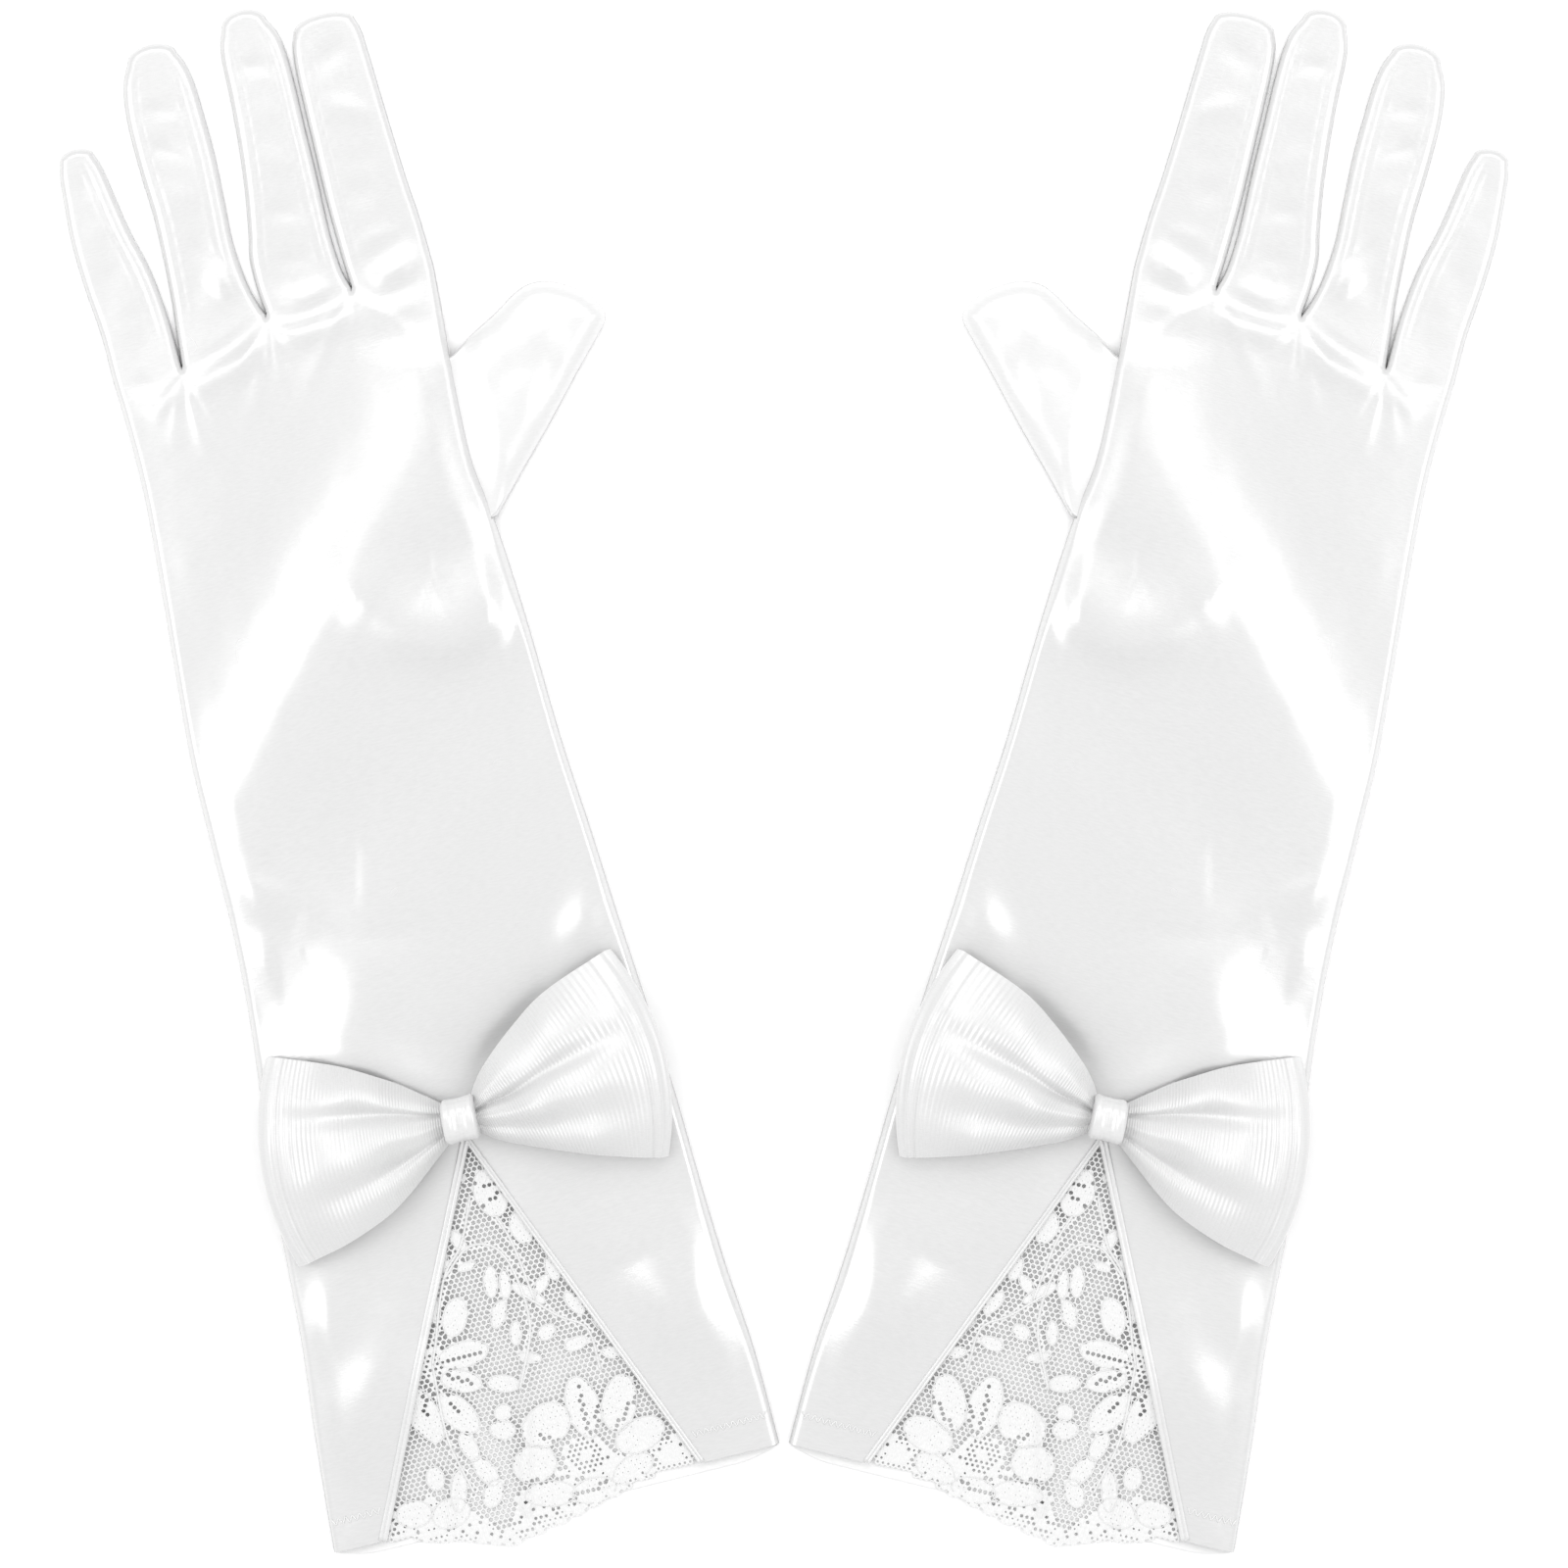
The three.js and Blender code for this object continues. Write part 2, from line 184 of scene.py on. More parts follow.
def merge_places(verts):
    """The first vertex in each place, and which place each vertex lies in."""
    keys = np.round(verts / MERGE_DISTANCE).astype(int)
    _, first, back = np.unique(keys, axis=0, return_index=True, return_inverse=True)
    return first, back.reshape(-1)


class Skin:
    """A surface in the glove's own frame: vertices in mm, and faces of 3 or 4 corners."""

    def __init__(self, verts, faces, cloth=None):
        self.verts = np.asarray(verts, float)
        self.faces = np.asarray(faces, int)
        self.cloth = self.verts.copy() if cloth is None else np.asarray(cloth, float)

    def weld(self):
        """Joins vertices that lie in one place."""
        first, back = merge_places(self.verts)
        self.verts, self.cloth = self.verts[first], self.cloth[first]
        f = back[self.faces]
        repeated = (f == np.roll(f, 1, axis=1)).sum(axis=1)
        self.faces = f[repeated < 2]
        return self

    def normals(self):
        v, f = self.verts, self.faces
        across = np.cross(v[f[:, 2]] - v[f[:, 0]], v[f[:, 3]] - v[f[:, 1]])
        out = np.zeros_like(v)
        for k in range(4):
            np.add.at(out, f[:, k], across)
        return out / np.maximum(np.linalg.norm(out, axis=1), 1e-12)[:, None]


def grid_faces(rows, cols, closed=False):
    """Faces of a grid of vertices, row by row. A closed grid's rows are rings."""
    j = np.arange(rows - 1)[:, None]
    i = np.arange(cols if closed else cols - 1)[None, :]
    n = (i + 1) % cols
    a, b = j * cols + i, j * cols + n
    return np.stack([a, b, b + cols, a + cols], axis=-1).reshape(-1, 4)


def rim_edges(faces, count):
    """The edges that have a face on one side only."""
    edges = np.concatenate([faces[:, [k, (k + 1) % 4]] for k in range(4)])
    edges = edges[edges[:, 0] != edges[:, 1]]
    ahead = edges[:, 0] * count + edges[:, 1]
    back = edges[:, 1] * count + edges[:, 0]
    return edges[~np.isin(ahead, back)]


def thicken(skin, normals, thickness):
    """Gives the surface an inner side and closes its rims. Returns the skin and its normals."""
    v, f, n = skin.verts, skin.faces, len(skin.verts)
    rim = rim_edges(f, n)
    walls = np.stack([rim[:, 1], rim[:, 0], rim[:, 0] + n, rim[:, 1] + n], axis=-1)
    faces = np.concatenate([f, f[:, ::-1] + n, walls])
    both = Skin(np.vstack([v, v - normals * thickness]), faces, np.vstack([skin.cloth] * 2))
    both.inner = np.zeros(len(faces), int)
    both.inner[len(f) : 2 * len(f)] = 1
    return both, np.vstack([normals, -normals])


def add_to_scene(name, data):
    made = bpy.data.objects.new(name, data)
    bpy.context.scene.collection.objects.link(made)
    return made


def make_object(name, skin, side, materials, normals=None, face_material=None, flat=False):
    faces = skin.faces if side == "left" else skin.faces[:, ::-1]
    rings = [[f[k] for k in range(4) if f[k] != f[k - 1]] for f in faces.tolist()]
    mesh = bpy.data.meshes.new(name)
    mesh.from_pydata(place(skin.verts, side).tolist(), [], rings)
    for material in materials:
        mesh.materials.append(material)
    mesh.polygons.foreach_set("use_smooth", np.full(len(rings), not flat))
    if face_material is not None:
        mesh.polygons.foreach_set("material_index", np.asarray(face_material, np.int32))
    cloth = mesh.attributes.new("cloth", "FLOAT_VECTOR", "POINT")
    cloth.data.foreach_set("vector", skin.cloth.astype(np.float32).ravel())
    mesh.update()
    if normals is not None:
        mesh.normals_split_custom_set_from_vertices(turn(normals, side).tolist())
    return add_to_scene(name, mesh)


def join(skins):
    """Several skins as one."""
    first = np.cumsum([0] + [len(s.verts) for s in skins])
    return Skin(
        np.vstack([s.verts for s in skins]),
        np.vstack([s.faces + f for s, f in zip(skins, first)]),
        np.vstack([s.cloth for s in skins]),
    )


# ---- the glove's outline

HAND_FOLD_Y = 285.0  # above this line the rows bend to meet the fingers
CUFF_Y = 0.0
PALM_CUFF_Y = -2.6  # the palm layer's hem shows past the back layer's

LEFT_EDGE = [
    (-59, -3), (-58.9, 0), (-56.6, 30), (-54.4, 52), (-53, 76), (-52.1, 98), (-50, 113),
    (-47.6, 135), (-46.3, 158), (-46.3, 182), (-46.2, 205), (-44.8, 227), (-43.1, 250),
    (-41.7, 272), (-41.6, 288), (-42.3, 304.3),
]
RIGHT_EDGE = [
    (58.6, -3), (58.5, 1), (58, 25), (56.1, 48), (54.9, 70), (54, 95), (52.3, 120), (50.6, 142),
    (49, 166), (47.3, 189), (46, 221), (44.2, 247), (42.3, 262), (42.3, 275), (43.1, 291),
    (44, 306), (44.4, 313.8),
]
CROTCHES = np.array([(-42.4, 304.3), (-24.4, 304.3), (-0.3, 312.3), (22.6, 313.8), (44.4, 313.8)])

# Each finger: the middle of its base, the knuckle line, the tip, and for stations along it the
# edge on the little finger's side and the edge on the thumb's side, from the middle.
FINGERS = {
    "little": dict(
        middle=-33.8, knuckle=305, length=60,
        stations=[(12, -8.8, 9), (25, -10, 7.5), (37, -10.5, 4.6), (48, -9.9, 2.7),
                  (54, -9.4, 1.6), (57.5, -8.6, 0.4)],
    ),
    "ring": dict(
        middle=-12.4, knuckle=309, length=77.5,
        stations=[(6, -11.2, 11), (12, -10.6, 9.4), (23, -10.1, 8.3), (34, -9.9, 8.7),
                  (46, -10.5, 9.1), (58, -10.7, 8.8), (66, -10, 8.3), (71, -8.6, 7.2),
                  (74, -7, 5.8)],
    ),
    "middle": dict(
        middle=10.8, knuckle=313, length=76.5,
        stations=[(6, -11.8, 10.5), (14, -11.8, 9.9), (21, -10.4, 9.9), (32, -8.7, 10.1),
                  (44, -7.5, 10.1), (56, -6.8, 10.2), (64, -6.6, 9.9), (69, -6, 8.9),
                  (73, -4.6, 6.8)],
    ),
    "index": dict(
        middle=33.2, knuckle=313.5, length=70.2,
        stations=[(6.5, -11.1, 11), (14.5, -11.4, 10.6), (23.5, -11.6, 9.8), (35.5, -11.5, 9.1),
                  (47.5, -11.4, 8.5), (57.5, -11.2, 8), (63.5, -10.6, 7.6), (67, -9.4, 6.6)],
    ),
}
THUMB_LOWER = [(45.2, 247.9), (49.6, 252.6), (54.3, 257.7), (63.5, 267.4), (73.4, 278.4),
               (80.8, 286.4), (83.6, 289.7), (84.2, 292.2), (82.6, 295.6)]
THUMB_UPPER = [(43.6, 290.7), (49.6, 294.6), (56.5, 298.3), (62, 301.8), (66.7, 303.7),
               (71.8, 303.3), (76.2, 301.2), (79.8, 298.6), (82.6, 295.6)]

left_edge = curve(LEFT_EDGE)
right_edge = curve(RIGHT_EDGE)


def edge_x(edge, y):
    return np.interp(y, edge[:, 1], edge[:, 0])


def finger_edges(name, step=1.0, cap=10):
    """The finger's two edges, row by row from the crotches to the one point at its tip."""
    f = FINGERS[name]
    index = list(FINGERS).index(name)
    along = [0.0] + [s[0] for s in f["stations"]]
    at = np.linspace(0, along[-1], int(along[-1] / step) + 1)
    sides = []
    for k in (1, 2):
        start = CROTCHES[index + k - 1]
        xs = [start[0]] + [f["middle"] + s[k] for s in f["stations"]]
        ys = [start[1]] + [f["knuckle"] + s[0] for s in f["stations"]]
        line = curve(np.column_stack([along, xs, ys]), 10)
        sides.append(np.column_stack([np.interp(at, line[:, 0], line[:, axis]) for axis in (1, 2)]))
    middle = (sides[0][-1] + sides[1][-1]) / 2
    tip_y = f["knuckle"] + f["length"]
    angle = np.linspace(0, np.pi / 2, cap + 1)[1:, None]
    rise = np.column_stack([0 * angle, (tip_y - middle[1]) * np.sin(angle)])
    return [np.vstack([line, middle + (line[-1] - middle) * np.cos(angle) + rise]) for line in sides]


FINGER_EDGES = {name: finger_edges(name) for name in FINGERS}
# from the cuff, up one edge, round the fingers and down the other edge
OUTLINE = np.vstack(
    [left_edge, *[line for a, b in FINGER_EDGES.values() for line in (a, b[::-1])], right_edge[::-1]]
)
THUMB_OUTLINE = np.vstack([curve(THUMB_LOWER), curve(THUMB_UPPER)[::-1][1:]])

# ---- heights

FLOOR_GAP = 0.3
SEAM_Z = 1.3  # where the back layer meets the palm layer, along the edge
ROLL_RISE, ROLL_WIDTH = 3.0, 2.1
CROWN_RISE, CROWN_WIDTH = -0.25, 18.0
FINGER_FLATTER = 0.46  # the fingers lie flatter than the arm
OVER_THUMB_RISE = 2.5  # how much higher the hand's edge lies where it passes over the thumb

# Soft folds of the back layer: a line, its height, and the widths over which it fades to the
# line's left and right.
FOLDS = [
    ([(40, 277), (2, 236), (-35, 193), (-44, 182)], 3.4, 24, 12),
    ([(9, 231), (17, 223), (29, 220), (42, 229), (51, 247)], 3.6, 13, 7),
    ([(-47, 172), (-38, 169), (-28, 162)], 1.2, 5, 8),
    ([(-47, 153), (-36, 152)], 1.1, 4.5, 8),
    ([(-28, 116), (-19, 130), (-14, 152)], 3.6, 15, 18),
    ([(-50, 127), (-30, 124), (-14, 113), (-2, 104)], 2.2, 8, 12),
    ([(3, 108), (14, 117), (30, 127)], -1.5, 6, 7),
    ([(50, 148), (36, 137)], 1.2, 6, 5),
    ([(8, 84), (24, 70), (50, 64)], 1.2, 7, 12),
    ([(45, 18), (43, 38), (38, 56)], 4.4, 11, 9),
    ([(60, 24), (58, 42), (54, 60)], 3.4, 8, 7),
    ([(-56, 48), (-48, 57), (-42, 66)], 1.8, 6, 8),
    ([(-52, 16), (-41, 33), (-28, 52)], 4.6, 12, 12),
    ([(-58, 2), (-48, 4)], 1.2, 5, 5),
]
SEAM_INSET = {  # how far the fourchette seams lie inside the finger's edges: outer, thumbward
    "little": (None, 3.8),
    "ring": (3.6, 3.8),
    "middle": (3.8, 3.6),
    "index": (3.6, None),
}


def seam_lines():
    """The fourchette seams that show along the fingers' sides."""
    lines = []
    for name, insets in SEAM_INSET.items():
        a, b = FINGER_EDGES[name]
        width = np.linalg.norm(b - a, axis=1)[:, None]
        for start, run, inset in ((a, b - a, insets[0]), (b, a - b, insets[1])):
            if inset:
                lines.append((start + run * inset / np.maximum(width, 1))[5:-11])
    return lines


SEAMS = seam_lines()


def folds(p):
    z = np.zeros(len(p))
    for line, height, left, right in FOLDS:
        d, t = to_line(p, curve(line, 6), signed=True)
        width = np.where(d > 0, left, right)
        z += height * bell(d, width) * swell(t, 0.35)
    z += 0.2 * noise(p * [1.0, 0.62], 28, 3) + 0.05 * noise(p * [1.0, 0.7], 12, 5)
    z += 0.015 * noise(p, 5, 8)
    return z


def ridges(p, lines, per):
    """Small ridges and hollows, each a line with its height and its width."""
    z = np.zeros(len(p))
    for line, height, width in lines:
        d, t = to_line(p, curve(line, per))
        z += height * bell(d, width) * swell(t, 0.3)
    return z


KNUCKLE_ROLL = (0.5, 0.6, 0.65, 0.4)
KNUCKLE_BUMPS = [  # swellings above the knuckle line: a line, its height and its width
    ([(-12, 320), (-8, 323), (-6, 328)], 1, 4.2),
    ([(27, 313), (35, 315), (44, 320)], 1.1, 3.4),
    ([(3, 315), (10, 313.5), (18, 316)], 0.6, 3),
]
PUCKER_LEANS = (-0.75, -0.35, 0.05, 0.4, 0.8)
PUCKER_REACHES = (15, 22, 26, 20, 14)


def knuckle_puckers(p):
    """Gathers where the fingers are set in: hollows between the crotches, and a soft roll below."""
    z = np.zeros(len(p))
    hollow_depth, hollow_width = 0.14, 1.9
    roll_drop, roll_width = 5.5, 3.0
    for i in range(1, 4):
        for j in (i - 1, i + 1):
            a, b = CROTCHES[i], CROTCHES[j]
            arc = curve([a + [0, -0.5], (a + b) / 2 + [0, -2.6], b + [0, -0.5]], 8)
            d, t = to_line(p, arc)
            z -= hollow_depth * bell(d, hollow_width) * np.maximum(np.sin(np.pi * t), 0) ** 0.5
            d, t = to_line(p, arc - [0, roll_drop])
            z += KNUCKLE_ROLL[min(i, j)] * bell(d, roll_width) * np.sin(np.pi * t)
    z += ridges(p, KNUCKLE_BUMPS, 5)
    for i, (cx, cy) in enumerate(CROTCHES[1:4]):
        for k, lean in enumerate(PUCKER_LEANS):
            reach = PUCKER_REACHES[(k + i) % len(PUCKER_REACHES)]
            d, t = to_line(p, np.array([(cx, cy - 1.5), (cx + lean * reach, cy - reach)]))
            z += 0.65 * bell(d, 0.9 + 1.6 * t) * (1 - t)
    return z


STITCH_PULL_LENGTH = 4.2  # the stitches pull on a seam more and less, over and over


def seam_grooves(p):
    """A groove along each seam, with the cloth a little raised beside it."""
    z = np.zeros(len(p))
    for line in SEAMS:
        d, t = to_line(p, line)
        length = np.linalg.norm(np.diff(line, axis=0), axis=1).sum()
        fade = np.minimum(1, 8 * np.minimum(t, 1 - t))
        pull = 1 + 0.5 * np.sin(t * length * 2 * np.pi / STITCH_PULL_LENGTH)
        z += (0.07 * bell(d - 0.9, 0.5) - 0.12 * bell(d, 0.5)) * fade * pull
    return z


def rim_z(p):
    """How high the seam along the glove's edge lies: it rises where it passes over the thumb."""
    over = smooth((p[:, 1] - 240) / 14) * smooth((300 - p[:, 1]) / 12)
    finger = smooth((p[:, 1] - 290) / 30)
    return SEAM_Z - 0.6 * finger + OVER_THUMB_RISE * over * smooth((p[:, 0] - 14) / 26)


def cuff_fade(p):
    """The back layer flattens towards the cuff's hem."""
    return 0.5 + 0.5 * smooth(p[:, 1] / 60)


def finger_folds(p):
    """Small creases across the fingers, where they bend."""
    z = np.zeros(len(p))
    rng = np.random.default_rng(21)
    for f in FINGERS.values():
        for share in (0.16, 0.3, 0.45, 0.62, 0.8):
            y = f["knuckle"] + f["length"] * (share + rng.uniform(-0.04, 0.04))
            tilt, half = rng.uniform(-3.5, 3.5), rng.uniform(4, 8)
            x = f["middle"] - 1 + rng.uniform(-3, 3)
            line = np.array([(x - half, y - tilt), (x, y + 0.8), (x + half, y + tilt)])
            d, t = to_line(p, line)
            height = rng.uniform(0.08, 0.24) * rng.choice([-1, 1])
            width = rng.uniform(2.0, 3.6)
            z += height * bell(d, width) * np.maximum(np.sin(np.pi * t), 0) ** 0.7
    return z


def back_z(p, d=None):
    """The back layer's height at points in the glove's own frame."""
    d = to_line(p, OUTLINE)[0] if d is None else d
    base = rim_z(p)
    roll = ROLL_RISE - 0.55 * (base - SEAM_Z)
    body = roll * side_profile(d / ROLL_WIDTH)
    body += CROWN_RISE * (1 - (1 - np.minimum(d, CROWN_WIDTH) / CROWN_WIDTH) ** 2)
    near_edge = smooth(d / 9)
    arm = smooth((322 - p[:, 1]) / 40)
    body *= FINGER_FLATTER + (1 - FINGER_FLATTER) * arm
    detail = folds(p) * (0.25 + 0.75 * arm) + finger_folds(p) * (1 - arm)
    detail = (detail + knuckle_puckers(p)) * near_edge + seam_grooves(p)
    return base + body * cuff_fade(p) + detail * cuff_fade(p)


def palm_z(p, d):
    """The palm layer's height: flat on the surface, and rounded up to the seam."""
    base = rim_z(p)
    return FLOOR_GAP + (base - FLOOR_GAP) * (1 - round_over(d / 2.4))


# ---- the satin shell

TOP_PER_FINGER = 30
PALM_PER_FINGER = 10
ARM_ROWS, BEND_ROWS = 196, 18  # straight rows up to the hand's fold, and bent ones above it
SATIN_THICKNESS = 0.42


def spread(count, ease=0.62):
    """Shares from 0 to 1 that crowd towards both ends."""
    t = np.linspace(0, 1, count + 1)
    return (1 - ease) * t + ease * (1 - np.cos(np.pi * t)) / 2


def ring_skin(rows, z):
    """A skin from rows of rings in plan and the height of each of their points."""
    count, n = rows.shape[:2]
    verts = np.column_stack([rows.reshape(-1, 2), z])
    return Skin(verts, grid_faces(count, n, closed=True))


def ring_rows(a, b, top_shares, palm_shares):
    """Rows of rings between two edges: the back layer from a to b, then the palm layer back."""
    shares = np.concatenate([top_shares, palm_shares[::-1][1:-1]])
    return a[:, None, :] * (1 - shares)[None, :, None] + b[:, None, :] * shares[None, :, None]


def knuckle_cut(per):
    """The line that the fingers start from, with each finger's own run of columns."""
    points = [CROTCHES[:1]]
    for a, b in zip(CROTCHES[:-1], CROTCHES[1:]):
        points.append(a + (b - a) * spread(per)[1:, None])
    return np.vstack(points)


def layer_heights(p, is_top):
    d = to_line(p, OUTLINE)[0]
    return np.where(is_top, back_z(p, d), palm_z(p, d))


def arm_skin():
    """Sleeve and hand in one: rows of rings from the cuff to the fingers' roots."""
    top_cut, palm_cut = knuckle_cut(TOP_PER_FINGER), knuckle_cut(PALM_PER_FINGER)
    cut = np.vstack([top_cut, palm_cut[::-1][1:-1]])
    n_top, n = len(top_cut), len(cut)
    x0, x1 = CROTCHES[0][0], CROTCHES[-1][0]
    shares = (cut[:, 0] - x0) / (x1 - x0)
    ys = np.concatenate([[0, 0.35, 0.9], np.linspace(1.8, HAND_FOLD_Y, ARM_ROWS)])
    straight = np.zeros((len(ys), n, 2))
    xa, xb = edge_x(left_edge, ys), edge_x(right_edge, ys)
    straight[:, :, 0] = xa[:, None] * (1 - shares) + xb[:, None] * shares
    straight[:, :, 1] = ys[:, None]
    t = np.linspace(0, 1, BEND_ROWS + 1)[1:, None, None]
    bend = straight[-1][None] * (1 - t) + cut[None] * t
    for column, edge in ((0, left_edge), (n_top - 1, right_edge)):
        bend[:, column, 0] = edge_x(edge, bend[:, column, 1])
    bend[-1] = cut
    rows = np.concatenate([straight, bend])
    is_top = np.arange(n) < n_top
    # the palm layer's hem reaches past the back layer's
    reach = (CUFF_Y - PALM_CUFF_Y) * smooth(8 * np.minimum(shares, 1 - shares) + 0.25)
    rows[:, :, 1] -= np.where(is_top, 0, reach)[None] * smooth((24 - rows[:, :, 1]) / 24)
    p = rows.reshape(-1, 2)
    top = np.tile(is_top, len(rows))
    return cut_notch(ring_skin(rows, layer_heights(p, top)), top)


GUSSET_APEX = np.array([-0.5, 95.6])
GUSSET_FEET = (np.array([-45.0, 2.0]), np.array([38.0, 0.6]))


def notch_side(p, foot):
    """Signed distance to one edge of the notch: positive inside the notch."""
    run = foot - GUSSET_APEX
    run = run / np.linalg.norm(run)
    inward = np.array([-run[1], run[0]]) if foot[0] < 0 else np.array([run[1], -run[0]])
    return (p - GUSSET_APEX) @ inward


def in_notch(p):
    return np.minimum(notch_side(p, GUSSET_FEET[0]), notch_side(p, GUSSET_FEET[1]))


def cut_notch(skin, top):
    """Takes the lace gusset's notch out of the back layer."""
    p = skin.verts[:, :2]
    depth = np.where(top, in_notch(p), -1)
    kept = skin.faces[depth[skin.faces].mean(axis=1) <= 0]
    used = np.unique(kept)
    inside = used[depth[used] > 0]
    for i in inside:
        sides = [notch_side(p[i][None], foot)[0] for foot in GUSSET_FEET]
        foot = GUSSET_FEET[int(np.argmin(np.abs(sides)))]
        run = (foot - GUSSET_APEX) / np.linalg.norm(foot - GUSSET_APEX)
        along = max(0.0, float((p[i] - GUSSET_APEX) @ run))
        if abs(p[i][1]) < 1e-6:  # the hem stays straight
            along = -GUSSET_APEX[1] / run[1]
        skin.verts[i, :2] = GUSSET_APEX + run * along
    skin.verts[inside, 2] = back_z(skin.verts[inside, :2])
    back = np.full(len(skin.verts), -1)
    back[used] = np.arange(len(used))
    return Skin(skin.verts[used], back[kept])


def finger_skin(name):
    a, b = FINGER_EDGES[name]
    rows = ring_rows(a, b, spread(TOP_PER_FINGER), spread(PALM_PER_FINGER))
    is_top = np.tile(np.arange(rows.shape[1]) <= TOP_PER_FINGER, len(rows))
    return ring_skin(rows, layer_heights(rows.reshape(-1, 2), is_top)).weld()


THUMB_HIDDEN = 3.0
THUMB_BASE_Z = 1.3
THUMB_SIDE_RISE, THUMB_SIDE_WIDTH = 2.7, 4.4
THUMB_CROWN_RISE, THUMB_CROWN_WIDTH = 2.3, 15
THUMB_TUCK_Z = 3.9  # how high it lies where it runs under the hand's edge
THUMB_FOLDS = [
    ([(50, 262), (58, 272), (64, 286)], 0.7, 4),
    ([(48, 276), (56, 282), (66, 284)], -0.6, 3.5),
    ([(54, 290), (64, 291), (74, 288)], 0.6, 4),
    ([(64, 276), (70, 284)], -0.4, 3),
]


def thumb_skin():
    """The set-in thumb: a tube from just under the hand's edge to the tip."""
    rows_count, top_count, palm_count = 62, 30, 12
    lead = np.array([[-THUMB_HIDDEN, -1.2]])
    upper, lower = [
        np.vstack([line[0] + lead, line[0] + lead / 2, line])
        for line in (resample(curve(points), rows_count) for points in (THUMB_UPPER, THUMB_LOWER))
    ]
    # seen from above the upper edge is on the left, so each ring runs from it to the lower edge
    rows = ring_rows(upper, lower, spread(top_count), spread(palm_count))
    p = rows.reshape(-1, 2)
    d = to_line(p, THUMB_OUTLINE)[0]
    out = p[:, 0] - edge_x(right_edge, p[:, 1])
    d = np.where((out < 0) & (d < 1.5), np.minimum(d, 1.0), d)
    side = THUMB_SIDE_RISE * side_profile(d / THUMB_SIDE_WIDTH)
    crown = 1 - (1 - np.minimum(d, THUMB_CROWN_WIDTH) / THUMB_CROWN_WIDTH) ** 2
    wrinkles = ridges(p, THUMB_FOLDS, 6) + 0.2 * noise(p, 9, 31)
    z_top = THUMB_BASE_Z + side + THUMB_CROWN_RISE * crown + wrinkles * smooth(d / 6)
    tuck = smooth(out / 9)
    z_top = THUMB_TUCK_Z * (1 - tuck) + z_top * tuck
    z_top = np.where(d < THUMB_SIDE_WIDTH, np.minimum(z_top, THUMB_BASE_Z + side + 1.6), z_top)
    lift = 0.7 * (1 - smooth((out + 1) / 3))
    z_palm = FLOOR_GAP + lift
    z_palm = z_palm + (THUMB_BASE_Z - FLOOR_GAP - lift * 0.5) * (1 - round_over(d / 2.2))
    is_top = np.tile(np.arange(rows.shape[1]) <= top_count, len(rows))
    z = np.where(is_top, np.maximum(z_top, THUMB_BASE_Z), np.minimum(z_palm, THUMB_BASE_Z))
    return ring_skin(rows, np.where(d < 1e-6, THUMB_BASE_Z, z)).weld()


# ---- the lace gusset

NET_PITCH = 1.4
NET_ACROSS, NET_ALONG = (-48, 42), (-10, 97)  # the stretch that the cells are laid over
THREAD = 0.34
LACE_THICKNESS = 0.18

# Motifs of the lace: leaves and petals as (x, y, width, length, lean in degrees).
LEAVES = [
    (2.1, 80, 8.2, 12.5, 8), (-2.9, 92.3, 3.2, 6, -10), (7.6, 69.5, 5.2, 8.6, 12),
    (-6.2, 85.5, 6.5, 2.8, 0), (-8.8, 70, 3, 7, 22), (-14.2, 66.5, 3.6, 6, 8),
    (-20.2, 56.5, 5.8, 10.5, 12), (-14.2, 51.4, 6.2, 10, -24), (-3.2, 58, 3.8, 8, -10),
    (-8.2, 63.2, 5, 2.2, 6), (-3.2, 49.4, 3.8, 7.4, -28), (-6.4, 31.8, 8.6, 4.4, -18),
    (-8.2, 24.6, 4.6, 4.2, 0), (5.5, 52.8, 3.2, 9.5, 48), (12.9, 57.6, 3.4, 6.4, 10),
    (16.2, 47.6, 3.4, 7, 30), (7.6, 42, 5, 3.8, 20), (14.1, 37.4, 6.2, 3.4, 6),
    (22.4, 33, 5.2, 3, -20), (21.5, 41, 3, 5.6, 34),
    (-18.9, 18, 8.1, 4.1, -74), (-16.2, 10.9, 8.8, 4.7, -64), (-24.1, 7.7, 4.1, 11, -14),
    (-15.7, 4.8, 5, 7.4, -34), (-29.2, 12.2, 4.7, 6.3, -4), (-9.5, 20.2, 6.9, 4.7, -14),
    (0.2, 56.5, 2.8, 7.8, -9), (-0.1, 43.7, 3.2, 6.3, -14), (9.3, 54.3, 3, 5.4, -49),
    (1.8, 36.8, 6.3, 2.8, -24), (-24.4, 49.7, 3.8, 8.1, -14), (26.8, 37.1, 2.8, 4.7, -14),
]
PETALS = [
    (-14.4, 41.6, 13, 6.6, 0), (-16.6, 35, 10.5, 5.6, -24), (-28, 29.4, 7.6, 17, 16),
    (-19.4, 27.2, 7.2, 13.5, 32), (-29.4, 42.4, 5.6, 8, 40),
    (1.8, 18.8, 13.4, 10.6, 24), (12, 21, 8.6, 16.4, 4), (21.2, 19.8, 8.8, 15, -22),
    (24.4, 10.6, 13.6, 8.4, 14), (-3.6, 9.8, 11.4, 9.6, 0), (-1.4, 1.4, 13, 6.6, -12),
    (9.6, -0.4, 11.6, 6.4, 0), (20.6, 2.6, 11.4, 6.4, 18), (-27.4, 2.6, 10, 7.6, 10),
    (-36.6, 4.6, 9, 7, -8),
]
FLOWER_EYES = [(-22.6, 41, 3.4), (9.6, 8.6, 4.6)]
